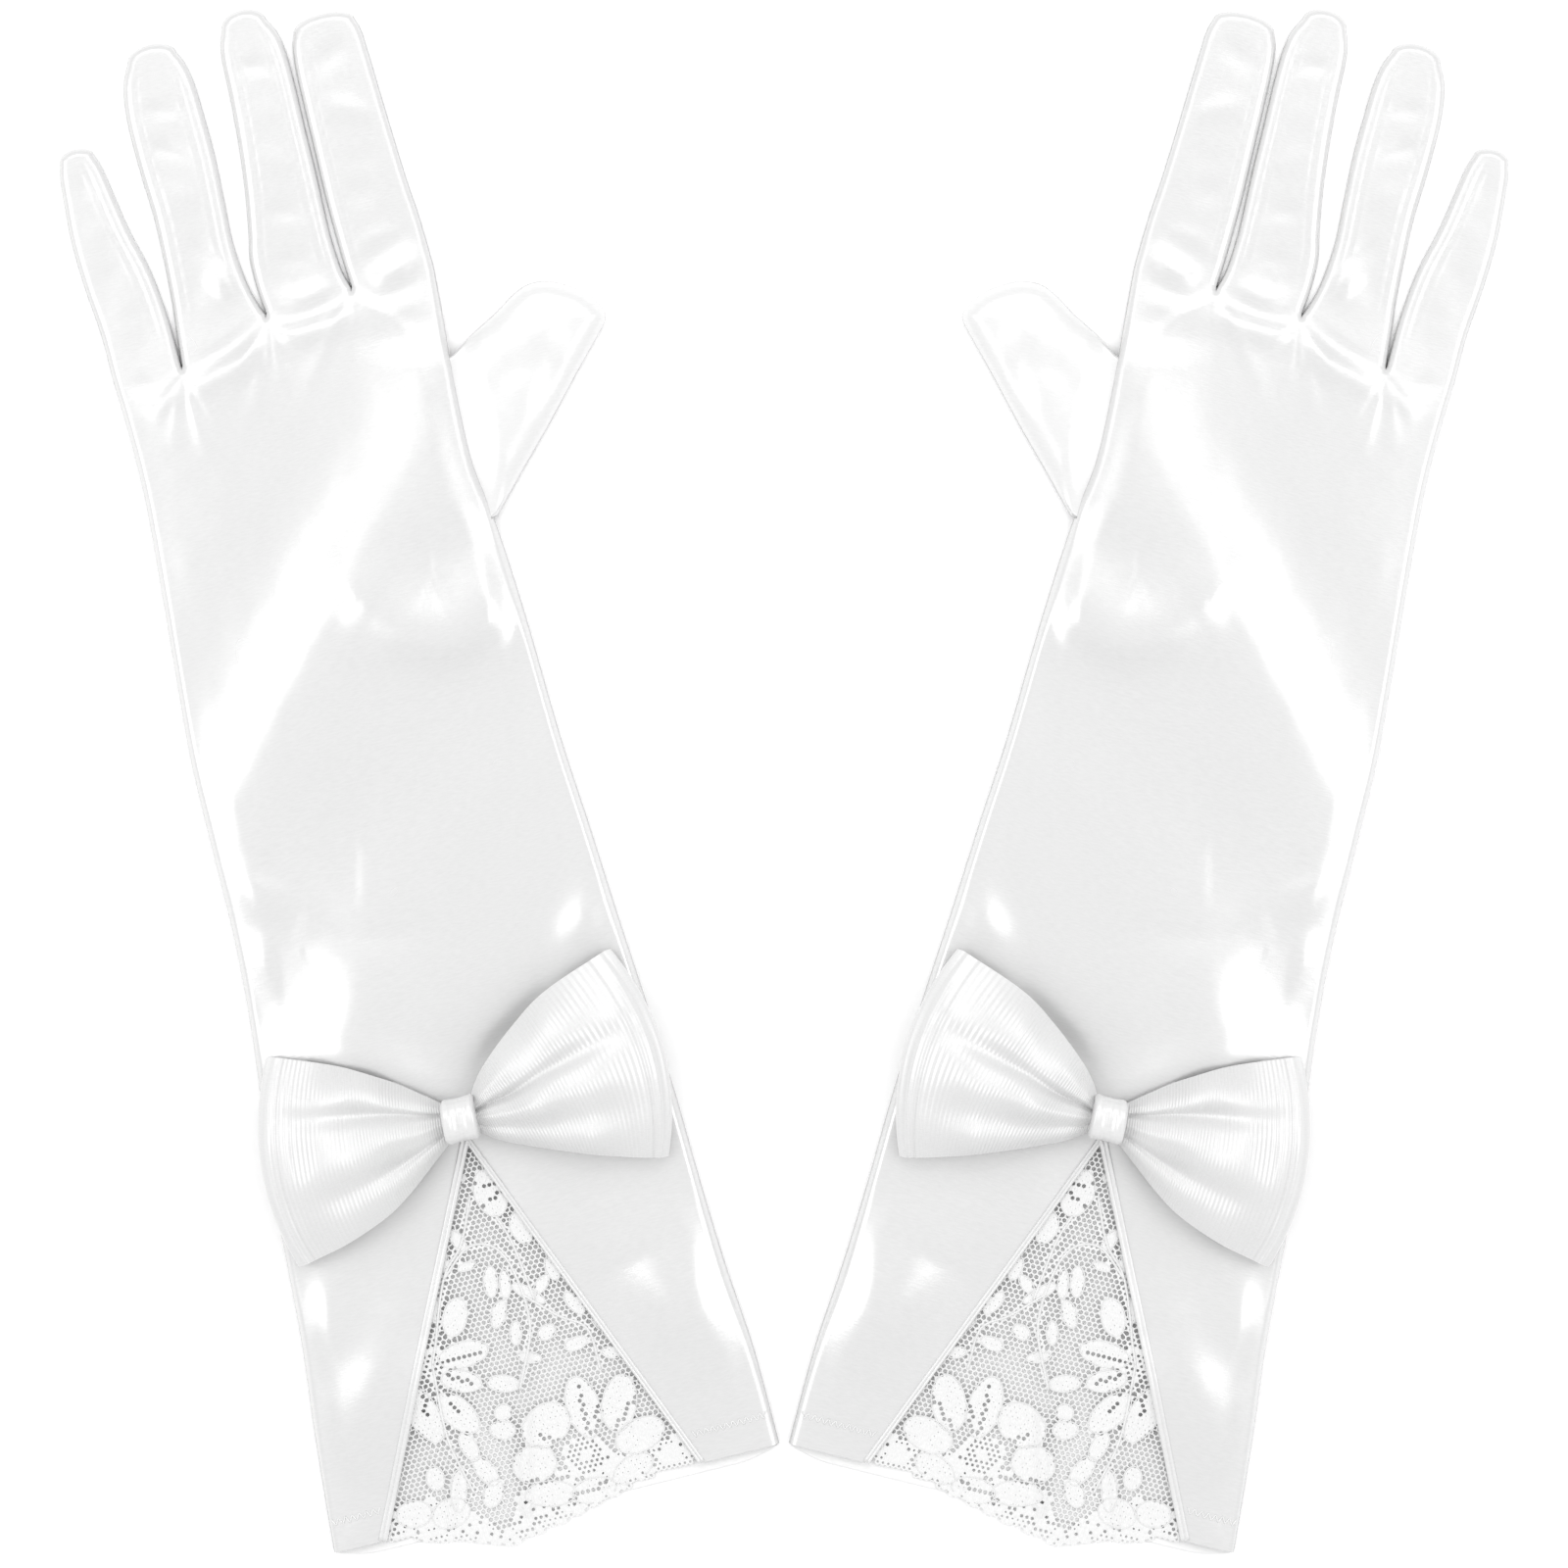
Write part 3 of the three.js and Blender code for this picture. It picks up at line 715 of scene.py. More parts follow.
VEINS = [  # rows of open holes along the petals
    ([(-1.6, 83), (3.4, 82)], 0.7), ([(0, 77.6), (5.4, 79.8)], 0.7),
    ([(-18.6, 41.4), (-10.6, 40.6)], 0.7), ([(-20, 37.4), (-14, 34)], 0.7),
    ([(-25.6, 38.6), (-27.6, 28.6)], 0.7), ([(-22.6, 37), (-19.4, 27)], 0.7),
    ([(-1, 16.6), (6.6, 12.2)], 0.75), ([(12.2, 26), (11.6, 14)], 0.75),
    ([(17.4, 26), (13.8, 14.2)], 0.75), ([(25.4, 20.6), (16.4, 11.2)], 0.75),
    ([(-6.6, 5.6), (4.4, 4)], 0.75), ([(2.4, -1.4), (12.6, 0.6)], 0.75),
]
STEMS = [
    ([(-3.2, 80.3), (-8.2, 69.2), (-14.7, 61.5), (-20.6, 46), (-22.6, 41)], 0.75),
    ([(-14.7, 61.5), (-7, 67.8), (-0.4, 66.5), (3.2, 59), (3.9, 44.6), (-2.6, 29.2)], 0.7),
    ([(3.9, 53), (11.3, 45.6), (17.9, 40.4), (18.6, 29.5)], 0.7),
    ([(2.1, 74), (4.6, 66), (6.6, 50.9)], 0.6),
    ([(-22.6, 41), (-23.6, 22), (-20.4, 6)], 0.7),
]
LACE_HEM = [(-46.2, 0.4), (-44.1, -0.6), (-38.4, -1.6), (-32.2, -4), (-24.4, -5.6),
            (-15.3, -8.8), (-9.6, -8.4), (-1.2, -6.8), (6.2, -5.2), (14.6, -3), (22.9, -0.6),
            (30.6, 0.2), (38.6, 1.4)]
LACE_PLEATS = [([(4.4, 56), (3, 46), (-1.6, 28), (-7.4, 4), (-8.6, -7)], 1.3, 1.7),
               ([(-22.4, 26), (-24.6, 12), (-28.2, -1)], 0.9, 1.5),
               ([(-12, 44), (-14.6, 20), (-17.4, -6)], -0.7, 3.2),
               ([(16, 34), (15, 14), (12, -3)], 0.6, 3)]


LACE_EDGE = curve(LACE_HEM)
CORD_RADIUS, STEM_RADIUS = 0.15, 0.34
MOTIF_OPEN = (0.0, 0.2)  # how open a motif's cells are, each by chance one or the other


def over_hem(p):
    """How far above the lace's free edge each point lies."""
    return p[:, 1] - np.interp(p[:, 0], LACE_EDGE[:, 0], LACE_EDGE[:, 1])


def in_ellipse(p, x, y, width, length, lean):
    """Below 1 inside a leaf shape."""
    a = math.radians(lean)
    q = p - [x, y]
    across = q[:, 0] * math.cos(a) + q[:, 1] * math.sin(a)
    along = -q[:, 0] * math.sin(a) + q[:, 1] * math.cos(a)
    return (across / (width / 2)) ** 2 + (along / (length / 2)) ** 2


def lace_holes(p, rng):
    """How open each cell of the net is: 1 for plain net, 0 where a motif fills it."""
    hole = np.ones(len(p))
    height = over_hem(p)
    edge = 10.0 + 2.5 * np.sin(p[:, 0] * 0.55) - 5.0 * bell(p[:, 0] + 18, 6.0)
    band = height < edge
    mottle = rng.random(len(p))
    hole[band] = np.select([mottle[band] < 0.55, mottle[band] < 0.75], [0.0, 0.45], 0.8)
    weave = np.where(rng.random(len(p)) < 0.5, *MOTIF_OPEN)
    for shape in LEAVES + PETALS:
        motif = in_ellipse(p, *shape) < 1
        hole[motif] = weave[motif]
    for line, width in STEMS:
        near = to_line(p, curve(line, 6))[0] < width
        hole[near] = np.minimum(hole[near], 0.62)
    for x, y, radius in FLOWER_EYES:
        r = np.hypot(p[:, 0] - x, p[:, 1] - y)
        hole[r < radius + 0.9] = 0
        hole[(r < radius) & (r > radius * 0.35)] = 0.7
    for line, width in VEINS:
        hole[to_line(p, np.array(line, float))[0] < width * 0.85] = 0.95
    scallops = height < 1.6
    hole[scallops] = np.where(mottle[scallops] < 0.5, 0.0, 0.6)
    return hole


def snap_to_motifs(corners):
    """Moves the net's corners that lie near a motif's outline onto it, so that it reads smooth."""
    shapes = LEAVES + PETALS
    values = np.array([np.sqrt(in_ellipse(corners, *shape)) for shape in shapes])
    moved = np.zeros(len(corners), bool)
    out = corners.copy()
    for k, shape in enumerate(shapes):
        centre = np.array(shape[:2])
        reach = np.linalg.norm(corners - centre, axis=1)
        gap = np.abs(values[k] - 1) / np.maximum(values[k], 1e-6) * reach
        inside_other = (np.delete(values, k, axis=0) < 0.9).any(axis=0)
        take = (gap < 0.46 * NET_PITCH) & ~inside_other & ~moved
        out[take] = centre + (corners[take] - centre) / values[k][take][:, None]
        moved |= take
    return out


def motif_cords():
    """The heavier thread that runs round each motif and along the stems."""
    pieces = []
    t = np.linspace(0, 2 * np.pi, 37)
    for x, y, width, length, lean in LEAVES + PETALS:
        a = math.radians(lean)
        across, along = width / 2 * np.cos(t), length / 2 * np.sin(t)
        xs = x + across * math.cos(a) - along * math.sin(a)
        ys = y + across * math.sin(a) + along * math.cos(a)
        pieces += cord_runs(np.column_stack([xs, ys]), CORD_RADIUS)
    for line, _ in STEMS:
        pieces += cord_runs(resample(curve(line, 8), 50), STEM_RADIUS)
    return join(pieces)


def cord_runs(line, radius):
    """Threads along the parts of a line that lie on the lace."""
    on_lace = (in_notch(line) > 1.0) & (over_hem(line) > 0.8)
    turns = np.flatnonzero(np.diff(np.concatenate([[0], on_lace, [0]])))
    runs = []
    for start, end in zip(turns[::2], turns[1::2]):
        if end - start >= 4:
            part = line[start:end]
            runs.append(tube_skin(np.column_stack([part, lace_z(part) + 0.12]), radius))
    return runs


def lace_z(p):
    """The lace hangs between the notch's edges and droops past the cuff."""
    inside = np.column_stack([p[:, 0], np.maximum(p[:, 1], 0)])
    z = back_z(inside) - 0.55
    sag = smooth(in_notch(p) / 14)
    z -= 0.9 * sag * smooth((60 - p[:, 1]) / 50)
    for line, height, width in LACE_PLEATS:
        d, t = to_line(p, curve(line, 6))
        z += height * bell(d, width) * smooth(t * 3)
    z -= 0.34 * np.maximum(0, -p[:, 1])
    return np.maximum(z, 1.3)


def lace_skin():
    """The net: six-sided cells with a hole in each, as a top and a bottom sheet."""
    xs = np.arange(*NET_ACROSS, NET_PITCH)
    ys = np.arange(*NET_ALONG, NET_PITCH * math.sqrt(3) / 2)
    p = np.array([(x + NET_PITCH / 2 * (j % 2), y) for j, y in enumerate(ys) for x in xs])
    p = p[(in_notch(p) > -0.5) & (over_hem(p) > 0)]
    hole = lace_holes(p, np.random.default_rng(12))
    angle = np.radians(30 + 60 * np.arange(6))
    spokes = np.column_stack([np.cos(angle), np.sin(angle)])
    radius = NET_PITCH / math.sqrt(3)
    open_radius = radius - THREAD / math.sqrt(3)
    corners = snap_to_motifs((p[:, None, :] + radius * spokes).reshape(-1, 2))
    reach = corners.reshape(-1, 6, 2) - p[:, None, :]
    size = open_radius / radius * np.maximum(hole, 0.001)
    rings = (p[:, None, :] + size[:, None, None] * reach).reshape(-1, 2)
    corner_of = np.arange(len(corners)).reshape(-1, 6)
    ring_of = corner_of + len(corners)
    flat = np.vstack([corners, rings])
    z = lace_z(flat)
    filled = hole < 0.01
    raised = np.repeat(filled, 6)
    relief = np.concatenate([np.where(raised, 0.05, 0), np.where(raised, 0.14, 0.02)])
    top = np.column_stack([flat, z + relief])
    bottom = np.column_stack([flat, z - LACE_THICKNESS])
    half = len(top)
    nxt = np.roll(np.arange(6), -1)
    upper = np.stack([corner_of, corner_of[:, nxt], ring_of[:, nxt], ring_of], -1).reshape(-1, 4)
    lower = upper[:, ::-1] + half
    walls = np.stack([ring_of, ring_of[:, nxt], ring_of[:, nxt] + half, ring_of + half], -1)
    faces = np.vstack([upper, lower, walls[~filled].reshape(-1, 4)])
    verts = np.vstack([top, bottom])
    # filled cells close to a point: their ring's corners are one vertex
    for group in (0, half):
        for c in np.flatnonzero(filled):
            ring = ring_of[c] + group
            verts[ring, :2] = p[c]
            verts[ring, 2] = verts[ring, 2].mean()
    return close_edges(Skin(verts, faces).weld())


def close_edges(skin):
    """Walls between the top and bottom sheets along their outer edge."""
    pairs = {}
    for edge in rim_edges(skin.faces, len(skin.verts)).tolist():
        key = tuple(sorted(tuple(np.round(skin.verts[i, :2], 2)) for i in edge))
        pairs.setdefault(key, []).append(edge)
    walls = [(b, a, d, c) for (a, b), (c, d) in (pair for pair in pairs.values() if len(pair) == 2)]
    skin.faces = np.vstack([skin.faces, walls])
    return skin


# ---- bindings, hem stitches

BINDING_WIDTHS = {"outer": 2.3, "inner": 1.7}


def strip_skin(line, lift, width, count, profile):
    """A narrow trim along a line on the back layer: a closed section swept along it."""
    path = resample(np.array(line, float), count)
    step = np.gradient(path, axis=0)
    step /= np.linalg.norm(step, axis=1)[:, None]
    side = np.column_stack([-step[:, 1], step[:, 0]])
    across = np.array([q[0] for q in profile]) * width / 2
    up = np.array([q[1] for q in profile])
    flat = path[:, None, :] + side[:, None, :] * across[None, :, None]
    z = back_z(flat.reshape(-1, 2)).reshape(count, -1)
    z = z.mean(axis=1, keepdims=True) * 0.4 + z * 0.6 + lift + up[None, :]
    n = len(profile)
    verts = np.column_stack([flat.reshape(-1, 2), z.reshape(-1)])
    skin = Skin(verts, grid_faces(count, n, closed=True))
    skin.cloth = np.column_stack([
        np.tile(across, count), np.repeat(np.linspace(0, 1, count), n) * 100, verts[:, 2],
    ])
    return cap_ends(skin, count, n)


def cap_ends(skin, rows, cols):
    """Closes a tube's two ends with fans, as faces of 4 corners with one repeated."""
    first = np.arange(cols)
    last = first + (rows - 1) * cols
    faces = []
    for ring, flip in ((first, True), (last, False)):
        centre = len(skin.verts)
        skin.verts = np.vstack([skin.verts, skin.verts[ring].mean(axis=0)])
        skin.cloth = np.vstack([skin.cloth, skin.cloth[ring].mean(axis=0)])
        nxt = np.roll(ring, -1)
        c = np.full(cols, centre)
        face = np.stack([ring, nxt, c, c], -1)
        faces.append(face[:, ::-1] if flip else face)
    skin.faces = np.vstack([skin.faces] + faces)
    return skin


BINDING_PROFILE = [  # a folded binding with its stitch line sunk between two soft ridges
    (-1.0, -0.15), (-0.98, 0.12), (-0.82, 0.34), (-0.55, 0.42), (-0.25, 0.30), (-0.12, 0.12),
    (0.02, 0.30), (0.3, 0.52), (0.62, 0.50), (0.9, 0.30), (1.0, 0.0), (0.98, -0.35), (0.0, -0.5),
    (-0.98, -0.35),
]


def binding_skin(foot, width):
    run = foot - GUSSET_APEX
    start = GUSSET_APEX + run / np.linalg.norm(run) * 0.4
    end = GUSSET_APEX + run * ((0.2 - GUSSET_APEX[1]) / run[1])
    return strip_skin([start, end], 0.12, width, 110, BINDING_PROFILE)


def tube_skin(path, radius, sides=5):
    """A round thread along a 3-D path."""
    step = np.gradient(path, axis=0)
    step /= np.linalg.norm(step, axis=1)[:, None]
    side = np.cross(step, [0, 0, 1.0])
    side /= np.maximum(np.linalg.norm(side, axis=1), 1e-9)[:, None]
    up = np.cross(side, step)
    angle = (np.arange(sides) * 2 * np.pi / sides)[None, :, None]
    ring = np.cos(angle) * side[:, None, :] + np.sin(angle) * up[:, None, :]
    verts = (path[:, None, :] + radius * ring).reshape(-1, 3)
    made = cap_ends(Skin(verts, grid_faces(len(path), sides, closed=True)), len(path), sides)
    made.faces = made.faces[:, ::-1]
    return made


HEM_STITCH_Y = 7.6
STITCH_STEP = 0.85  # from one corner of the zigzag to the next, and half its width
STITCH_RADIUS = 0.19


def hem_zigzag():
    """The cuff hem's zigzag stitch, on both sides of the gusset."""
    pieces = []
    for x_from, x_to in ((-57.4, -43.6), (34.0, 57.2)):
        count = int((x_to - x_from) / STITCH_STEP)
        xs = np.linspace(x_from, x_to, count)
        ys = HEM_STITCH_Y + STITCH_STEP * (-1) ** np.arange(count) + 0.02 * (xs - x_from)
        corners = np.column_stack([xs, ys])
        corners = corners[in_notch(corners) < -1.4]
        path = resample(corners, len(corners) * 4)
        pieces.append(tube_skin(np.column_stack([path, back_z(path) + 0.1]), STITCH_RADIUS))
    return join(pieces)


# ---- the bow

BOW_BASE = 6.7
RIBBON_THICKNESS = 0.4
RIB_PITCH = 0.9
RIB_DEPTH = 0.12
LOOPS = {
    "outer": dict(
        top=[(-3.2, 104.9), (-9, 109.6), (-15.8, 114.6), (-23.4, 119.2), (-31.8, 123.1), (-43.2, 127.4)],
        bottom=[(-3.4, 96), (-10.6, 90.2), (-17, 85.2), (-24.2, 80.8), (-35.6, 76.6), (-47.8, 73.8)],
        bulge=-5.4,
        pleats=[(0.29, -1.9, 0.05, 0), (0.71, -1.6, 0.065, 0.03), (0.12, 0.7, 0.09, 0),
                (0.5, 1, 0.11, 0), (0.88, 0.6, 0.08, 0)],
    ),
    "inner": dict(
        top=[(3, 104.6), (6, 109.4), (10.4, 114), (18.6, 120.8), (28.4, 127.1), (45.6, 133.4)],
        bottom=[(3, 96.6), (9.4, 92.4), (18.9, 88.3), (28, 84.8), (37.6, 81.4), (47.4, 78.7)],
        bulge=6.2,
        pleats=[(0.40, -2.1, 0.045, -0.05), (0.74, -1.1, 0.08, 0), (0.2, 0.9, 0.12, 0),
                (0.57, 1.1, 0.09, 0), (0.9, 0.5, 0.08, 0)],
    ),
}


LOOP_LENGTH, LOOP_WIDTH = 48.0, 55
LOOP_END_LIFT = 3.8
LOOP_STATIONS = [0, 0.08, 0.2, 0.45, 0.7, 0.88, 0.96, 1.0]
LOOP_LIFTS = [4.4, 5.6, 7.8, 10.0, 9.8, 8.2, 6.6, LOOP_END_LIFT]
PLEAT_STATIONS = [0, 0.1, 0.45, 0.78, 0.96, 1.0]
PLEAT_FADES = [0.9, 1.0, 1.05, 0.8, 0.3, 0.0]


def at_share(line, share):
    """The place that lies at a share of the line's points."""
    shares = np.linspace(0, 1, len(line))
    return np.array([np.interp(share, shares, line[:, k]) for k in (0, 1)])


def loop_skin(name):
    """A ribbon loop: out from the knot on top, round the fold, and back underneath."""
    loop = LOOPS[name]
    ribs = int(LOOP_LENGTH / RIB_PITCH)
    top_rows = ribs * 5
    fold = np.linspace(0, np.pi, 12)[1:-1]
    v = spread(56, 0.35)
    across = v[:, None]  # from the loop's upper edge to its lower one
    arch = 1 - 0.66 * np.abs(2 * v - 1) ** 2.6
    top, bottom = curve(loop["top"], 10), curve(loop["bottom"], 10)
    rows = []
    cloth = []
    us = np.concatenate([np.linspace(0, 1, top_rows), np.ones(len(fold)), np.linspace(1, 0, 34)])
    for index, u in enumerate(us):
        p = at_share(top, u) * (1 - across) + at_share(bottom, u) * across
        p[:, 0] += loop["bulge"] * 4 * v * (1 - v) * u**2.2
        if index < top_rows:
            lift = np.interp(u, LOOP_STATIONS, LOOP_LIFTS)
            fade = np.interp(u, PLEAT_STATIONS, PLEAT_FADES)
            z = BOW_BASE + lift * arch + RIB_DEPTH * np.cos(2 * np.pi * u * ribs)
            for at, depth, width, drift in loop["pleats"]:
                pleat = depth * fade * bell(v - at - drift * u, width * (0.6 + 0.8 * u))
                z += pleat * (lift / 8.6)
            z += 0.8 * noise(p, 10, 41) * smooth(u * 3) * smooth((1 - u) * 8)
            z += 0.5 * bell(u - 0.982, 0.012) - 0.35 * bell(u - 0.955, 0.01)  # the turned end
            s = u * LOOP_LENGTH
        elif index < top_rows + len(fold):
            angle = fold[index - top_rows]
            z = BOW_BASE + LOOP_END_LIFT * arch * (1 + np.cos(angle)) / 2
            p[:, 0] += 1.5 * np.sin(angle) * np.sign(loop["bulge"])
            s = LOOP_LENGTH + angle * 2
        else:
            z = BOW_BASE + 0.12 * noise(p, 12, 42)
            s = LOOP_LENGTH * (2 - u) + 6
        rows.append(np.column_stack([p, z]))
        cloth.append(np.column_stack([np.full(len(v), s), v * LOOP_WIDTH, np.zeros(len(v))]))
    skin = Skin(np.vstack(rows), grid_faces(len(rows), len(v)), np.vstack(cloth))
    return face_up(skin, slice(0, len(v)))


def face_up(skin, where):
    """Turns the faces over if those vertices' normals point down."""
    if skin.normals()[where, 2].mean() < 0:
        skin.faces = skin.faces[:, ::-1]
    return skin


KNOT_CENTRE = (0.0, 100.7)


def knot_skin():
    """The knot's satin band: over the middle of the bow, and down round both its sides."""
    turns, cols = 48, 26  # vertices round the band, and rings across it
    half_x, half_y = 4.3, 5.9
    low, high = BOW_BASE - 1.7, 18.0
    angle = np.linspace(0, 2 * np.pi, turns, endpoint=False)
    cy, cz = [np.sign(c) * np.abs(c) ** 0.72 for c in (np.cos(angle), np.sin(angle))]
    verts = []
    for s in np.linspace(-1, 1, cols):
        waist = (1 - 0.07 * (1 - s * s)) * (1 - 0.16 * max(0, abs(s) - 0.8) / 0.2)
        crease = 0.22 * np.sin(s * 9 + 1.2 * np.cos(angle)) + 0.12 * np.sin(s * 21 + angle)
        y = KNOT_CENTRE[1] + half_y * waist * cy
        z = (low + high) / 2 + (high - low) / 2 * waist * cz + crease * (cz > 0)
        x = KNOT_CENTRE[0] + half_x * s + 0.05 * (y - KNOT_CENTRE[1])
        verts.append(np.column_stack([x, y, z]))
    skin = Skin(np.vstack(verts), grid_faces(cols, turns, closed=True))
    return face_up(cap_ends(skin, cols, turns), [turns * (cols // 2) + turns // 4])


# ---- materials


def feed(node, sockets):
    """Gives each named input a value, or a link from another node's output."""
    for name, value in sockets.items():
        if isinstance(value, bpy.types.NodeSocket):
            node.id_data.links.new(value, node.inputs[name])
        else:
            node.inputs[name].default_value = value
    return node


def new_node(tree, kind, sockets):
    return feed(tree.nodes.new(f"ShaderNode{kind}"), sockets)


def node_material(name):
    material = bpy.data.materials.new(name)
    material.use_nodes = True
    tree = material.node_tree
    tree.nodes.clear()
    shader = new_node(tree, "BsdfPrincipled", {})
    new_node(tree, "OutputMaterial", {"Surface": shader.outputs["BSDF"]})
    return material, tree, shader


def cloth_coordinates(tree, scale=(1, 1, 1)):
    """The points' places on the cloth, in mm, times the scale."""
    source = new_node(tree, "Attribute", {})
    source.attribute_name = "cloth"
    sockets = {"Scale": scale, "Vector": source.outputs["Vector"]}
    return new_node(tree, "Mapping", sockets).outputs["Vector"]


def noise_node(tree, vector, scale=1.0, detail=3.0):
    sockets = {"Scale": scale, "Detail": detail, "Vector": vector}
    return new_node(tree, "TexNoise", sockets).outputs["Fac"]


def wave_node(tree, scale, direction, distortion):
    vector = cloth_coordinates(tree)
    sockets = {"Scale": scale, "Distortion": distortion, "Detail": 1.0, "Vector": vector}
    node = new_node(tree, "TexWave", sockets)
    node.bands_direction = direction
    return node.outputs["Fac"]


def grey_ramp(tree, value, low, high):
    """Greys over a value: each end as its place and its grey."""
    node = new_node(tree, "ValToRGB", {"Fac": value})
    for element, (position, grey) in zip(node.color_ramp.elements, (low, high)):
        element.position = position
        element.color = (grey, grey, grey, 1)
    return node.outputs["Color"]


def between(tree, value, low, high):
    sockets = {"To Min": low, "To Max": high, "Value": value}
    return new_node(tree, "MapRange", sockets).outputs["Result"]


def bump(tree, height, strength, distance, **normal):
    sockets = {"Strength": strength, "Distance": distance, "Height": height, **normal}
    return new_node(tree, "Bump", sockets).outputs["Normal"]


def satin_material(name, value=0.715, gloss=0.4):
    """Stretch satin: fine crosswise floats, a soft strong sheen and faint streaks."""
    material, tree, shader = node_material(name)
    streaks = noise_node(tree, cloth_coordinates(tree, (0.5, 2.6, 0.5)), detail=4.0)
    cloudy = noise_node(tree, cloth_coordinates(tree, (0.03, 0.03, 0.03)), detail=2.0)
    floats = wave_node(tree, 2.0, "Y", 1.5)
    relief = bump(tree, streaks, 0.10, 0.00025)
    feed(shader, {
        "Base Color": grey_ramp(tree, streaks, (0.3, value - 0.025), (0.7, value + 0.02)),
        "Roughness": between(tree, cloudy, 0.22, 0.30),
        "Normal": bump(tree, floats, 0.06, 0.00008, Normal=relief),
        "Metallic": gloss,
        "Specular IOR Level": 0.6,
        "Sheen Weight": 0.15,
        "Sheen Roughness": 0.4,
    })
    return material


def ribbon_material():
    material, tree, shader = node_material("ribbed_ribbon")
    threads = noise_node(tree, cloth_coordinates(tree, (0.8, 5.0, 1)))
    feed(shader, {
        "Base Color": grey_ramp(tree, threads, (0.3, 0.68), (0.7, 0.73)),
        "Roughness": between(tree, threads, 0.30, 0.40),
        "Normal": bump(tree, threads, 0.15, 0.0002),
        "Metallic": 0.3,
        "Sheen Weight": 0.2,
    })
    return material


def lace_material():
    material, tree, shader = node_material("lace_thread")
    fibres = noise_node(tree, cloth_coordinates(tree, (3.0, 1.4, 1)), detail=4.0)
    pillars = bump(tree, wave_node(tree, 0.55, "X", 1.2), 0.25, 0.0002)
    feed(shader, {
        "Base Color": grey_ramp(tree, fibres, (0.3, 0.73), (0.7, 0.80)),
        "Roughness": between(tree, fibres, 0.6, 0.8),
        "Normal": bump(tree, fibres, 0.35, 0.0001, Normal=pillars),
        "Specular IOR Level": 0.35,
    })
    return material


def thread_material():
    material, tree, shader = node_material("sewing_thread")
    twist = wave_node(tree, 3.0, "DIAGONAL", 0.4)
    feed(shader, {
        "Base Color": grey_ramp(tree, twist, (0.2, 0.80), (0.8, 0.87)),
        "Roughness": 0.5,
        "Normal": bump(tree, twist, 0.4, 0.0001),
    })
    return material


def floor_material():
    material, tree, shader = node_material("pale_floor")
    place_in_mesh = new_node(tree, "TexCoord", {}).outputs["Object"]
    grain = noise_node(tree, place_in_mesh, 30.0, 2.0)
    feed(shader, {
        "Base Color": grey_ramp(tree, grain, (0.0, 0.97), (1.0, 0.98)),
        "Roughness": 0.9,
        "Specular IOR Level": 0.1,
    })
    return material


# ---- the pieces of each glove

satin = satin_material("glove_satin")
# The thumb's satin is a lighter copy of the glove's satin: a painted sheen, standing in for the sheen
# its differently laid fabric catches
thumb_satin_painted_sheen = satin_material("thumb_satin_painted_sheen", 0.78, 0.3)
# The satin's matte reverse side, for the inner faces; its lighter grey than the face is painted light,
# lifting the shade inside the glove seen through the lace holes
reverse = satin_material("satin_reverse_lightened_for_shade", 0.84, 0.0)
trim_satin = satin_material("trim_satin", 0.73, 0.2)
ribbon = ribbon_material()
lace = lace_material()
thread = thread_material()


def satin_pieces():
    """The satin covers, with normals that are shared where the hand and the fingers meet."""
    skins = {"arm": arm_skin(), **{name: finger_skin(name) for name in FINGERS}}
    whole = join(list(skins.values()))
    first, back = merge_places(whole.verts)
    shared = Skin(whole.verts[first], back[whole.faces]).normals()[back]
    ends = np.cumsum([len(skin.verts) for skin in skins.values()])[:-1]
    normals = dict(zip(skins, np.split(shared, ends)))
    skins["thumb"] = thumb_skin()
    normals["thumb"] = skins["thumb"].normals()
    return {name: thicken(skins[name], normals[name], SATIN_THICKNESS) for name in skins}


FINGER_BLEND = 10.0
WRIST_BLEND = (238.0, 252.0)
THUMB_BLEND = (44.9, 56.0)
THUMB_BLEND_Y = 269.3
FINGER_STRIPS = ("back_strip", "palm_strip", "fourchette_outward", "fourchette_thumbward")


def blend(piece, side, start, end):
    """Bakes the piece's transform into its mesh; the two places in the glove's frame are turned into the
    row frame, but nothing is bent between them.
    """
    place_point(*start, 0, side)
    place_point(*end, 0, side)
    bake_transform(piece)


def build_satin(side, pieces):
    made = {}
    for name, (skin, normals) in pieces.items():
        label = f"{side}_sleeve_and_hand" if name == "arm" else f"{side}_{name}_cover"
        cloth = thumb_satin_painted_sheen if name == "thumb" else satin
        made[name] = make_object(label, skin, side, [cloth, reverse], normals, skin.inner)
    start, end = [(WRIST_LOCAL[0], y) for y in WRIST_BLEND]
    blend(made["arm"], side, start, end)
    panels = [f"{part}_{layer}_panel" for part in ("sleeve", "hand") for layer in ("back", "palm")]
    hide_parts(*[f"{side}_{panel}" for panel in panels])
    for index, name in enumerate(FINGERS):
        y = max(CROTCHES[index][1], CROTCHES[index + 1][1])
        x = FINGERS[name]["middle"]
        blend(made[name], side, (x, y), (x, y + FINGER_BLEND))
        nodes = [f"{side}_{name}_{strip}" for strip in FINGER_STRIPS]
        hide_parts(*[node for node in nodes if node in frame["nodes"]])
    start, end = [(x, THUMB_BLEND_Y) for x in THUMB_BLEND]
    blend(made["thumb"], side, start, end)
    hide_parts(f"{side}_thumb")
    return made


def sewn_on(side, name, skin, material, node=None, normals=None, flat=False):
    """A piece that rides on the sleeve, and the CAD node that it takes the place of."""
    piece = make_object(f"{side}_{name}", skin, side, [material], normals, flat=flat)
    if node is not None:
        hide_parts(f"{side}_{node}")
    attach(piece, f"{side}_sleeve")
    return piece


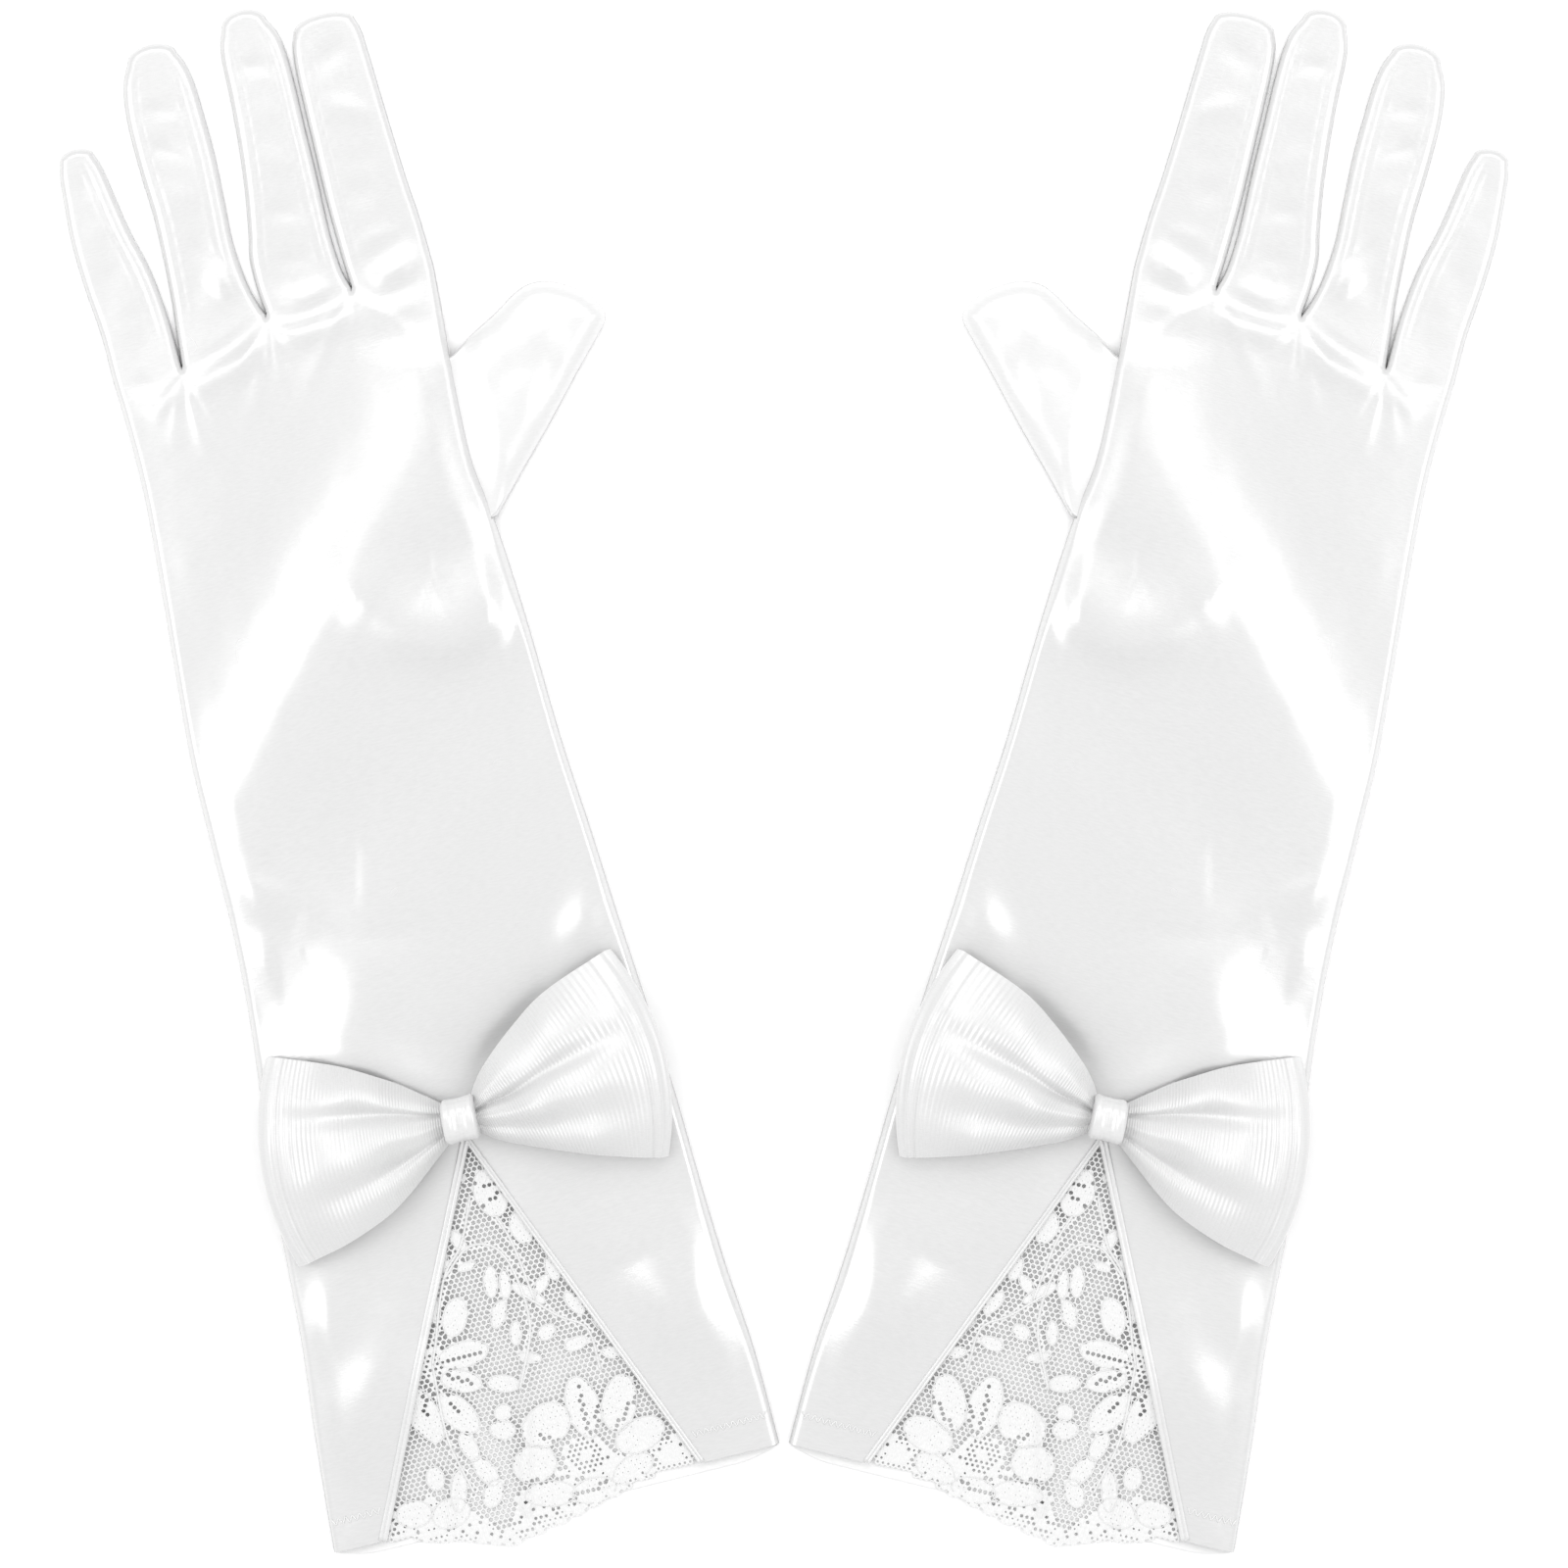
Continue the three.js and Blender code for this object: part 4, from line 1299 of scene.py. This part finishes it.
def build_trim(side, parts):
    lace_piece = sewn_on(side, "lace_panel", parts["lace"], lace, "lace_gusset", flat=True)
    sewn_on(side, "lace_outline_threads", parts["cords"], lace)
    for way in BINDING_WIDTHS:
        skin = parts[f"binding_{way}"]
        sewn_on(side, f"binding_{way}", skin, trim_satin, f"gusset_binding_{way}")
    sewn_on(side, "hem_stitches", parts["stitches"], thread)
    for name in LOOPS:
        skin, normals = parts[f"loop_{name}"]
        sewn_on(side, f"bow_{name}", skin, ribbon, f"bow_loop_{name}", normals)
    sewn_on(side, "knot_band", parts["knot"], trim_satin, "bow_knot")


trim = {"lace": lace_skin(), "cords": motif_cords(), "stitches": hem_zigzag(), "knot": knot_skin()}
for way, foot in zip(BINDING_WIDTHS, GUSSET_FEET):
    trim[f"binding_{way}"] = binding_skin(foot, BINDING_WIDTHS[way])
for name in LOOPS:
    loop = loop_skin(name)
    trim[f"loop_{name}"] = thicken(loop, loop.normals(), RIBBON_THICKNESS)
shells = satin_pieces()
for side in SIDES:
    covers = build_satin(side, shells)
    build_trim(side, trim)

# ---- floor, lights, camera

FLOOR_SIZE = 6.0
CAMERA_PLACE = (0, 0.0004, 0.95)


def add_floor():
    mesh = bpy.data.meshes.new("floor")
    h = FLOOR_SIZE / 2
    mesh.from_pydata([(-h, -h, 0), (h, -h, 0), (h, h, 0), (-h, h, 0)], [], [(0, 1, 2, 3)])
    mesh.materials.append(floor_material())
    add_to_scene("floor", mesh)


def add_light(name, position, target, size, power):
    data = bpy.data.lights.new(name, "AREA")
    data.shape = "RECTANGLE"
    data.size, data.size_y = size
    data.energy = power
    light = add_to_scene(name, data)
    light.location = position
    way = Vector(target) - Vector(position)
    light.rotation_euler = way.to_track_quat("-Z", "Y").to_euler()


def add_lights():
    for name, x in (("softbox_left", -1.1), ("softbox_right", 1.1)):
        add_light(name, (x, 0.1, 1.25), (0, 0, 0), (0.6, 1.0), 5.0)
    add_light("softbox_top", (0, 0.85, 1.25), (0, 0.05, 0), (1.6, 0.4), 3.5)
    world = bpy.data.worlds.new("studio")
    world.use_nodes = True
    feed(world.node_tree.nodes["Background"], {"Color": (1, 1, 1, 1), "Strength": 0.95})
    bpy.context.scene.world = world


def add_camera():
    data = bpy.data.cameras.new("camera")
    data.lens = 85
    data.sensor_width = 36
    camera = add_to_scene("camera", data)
    camera.location = CAMERA_PLACE
    camera.rotation_euler = (0, 0, 0)
    bpy.context.scene.camera = camera


add_floor()
add_lights()
add_camera()
bpy.context.scene.view_settings.view_transform = "Standard"

bpy.context.view_layer.update()
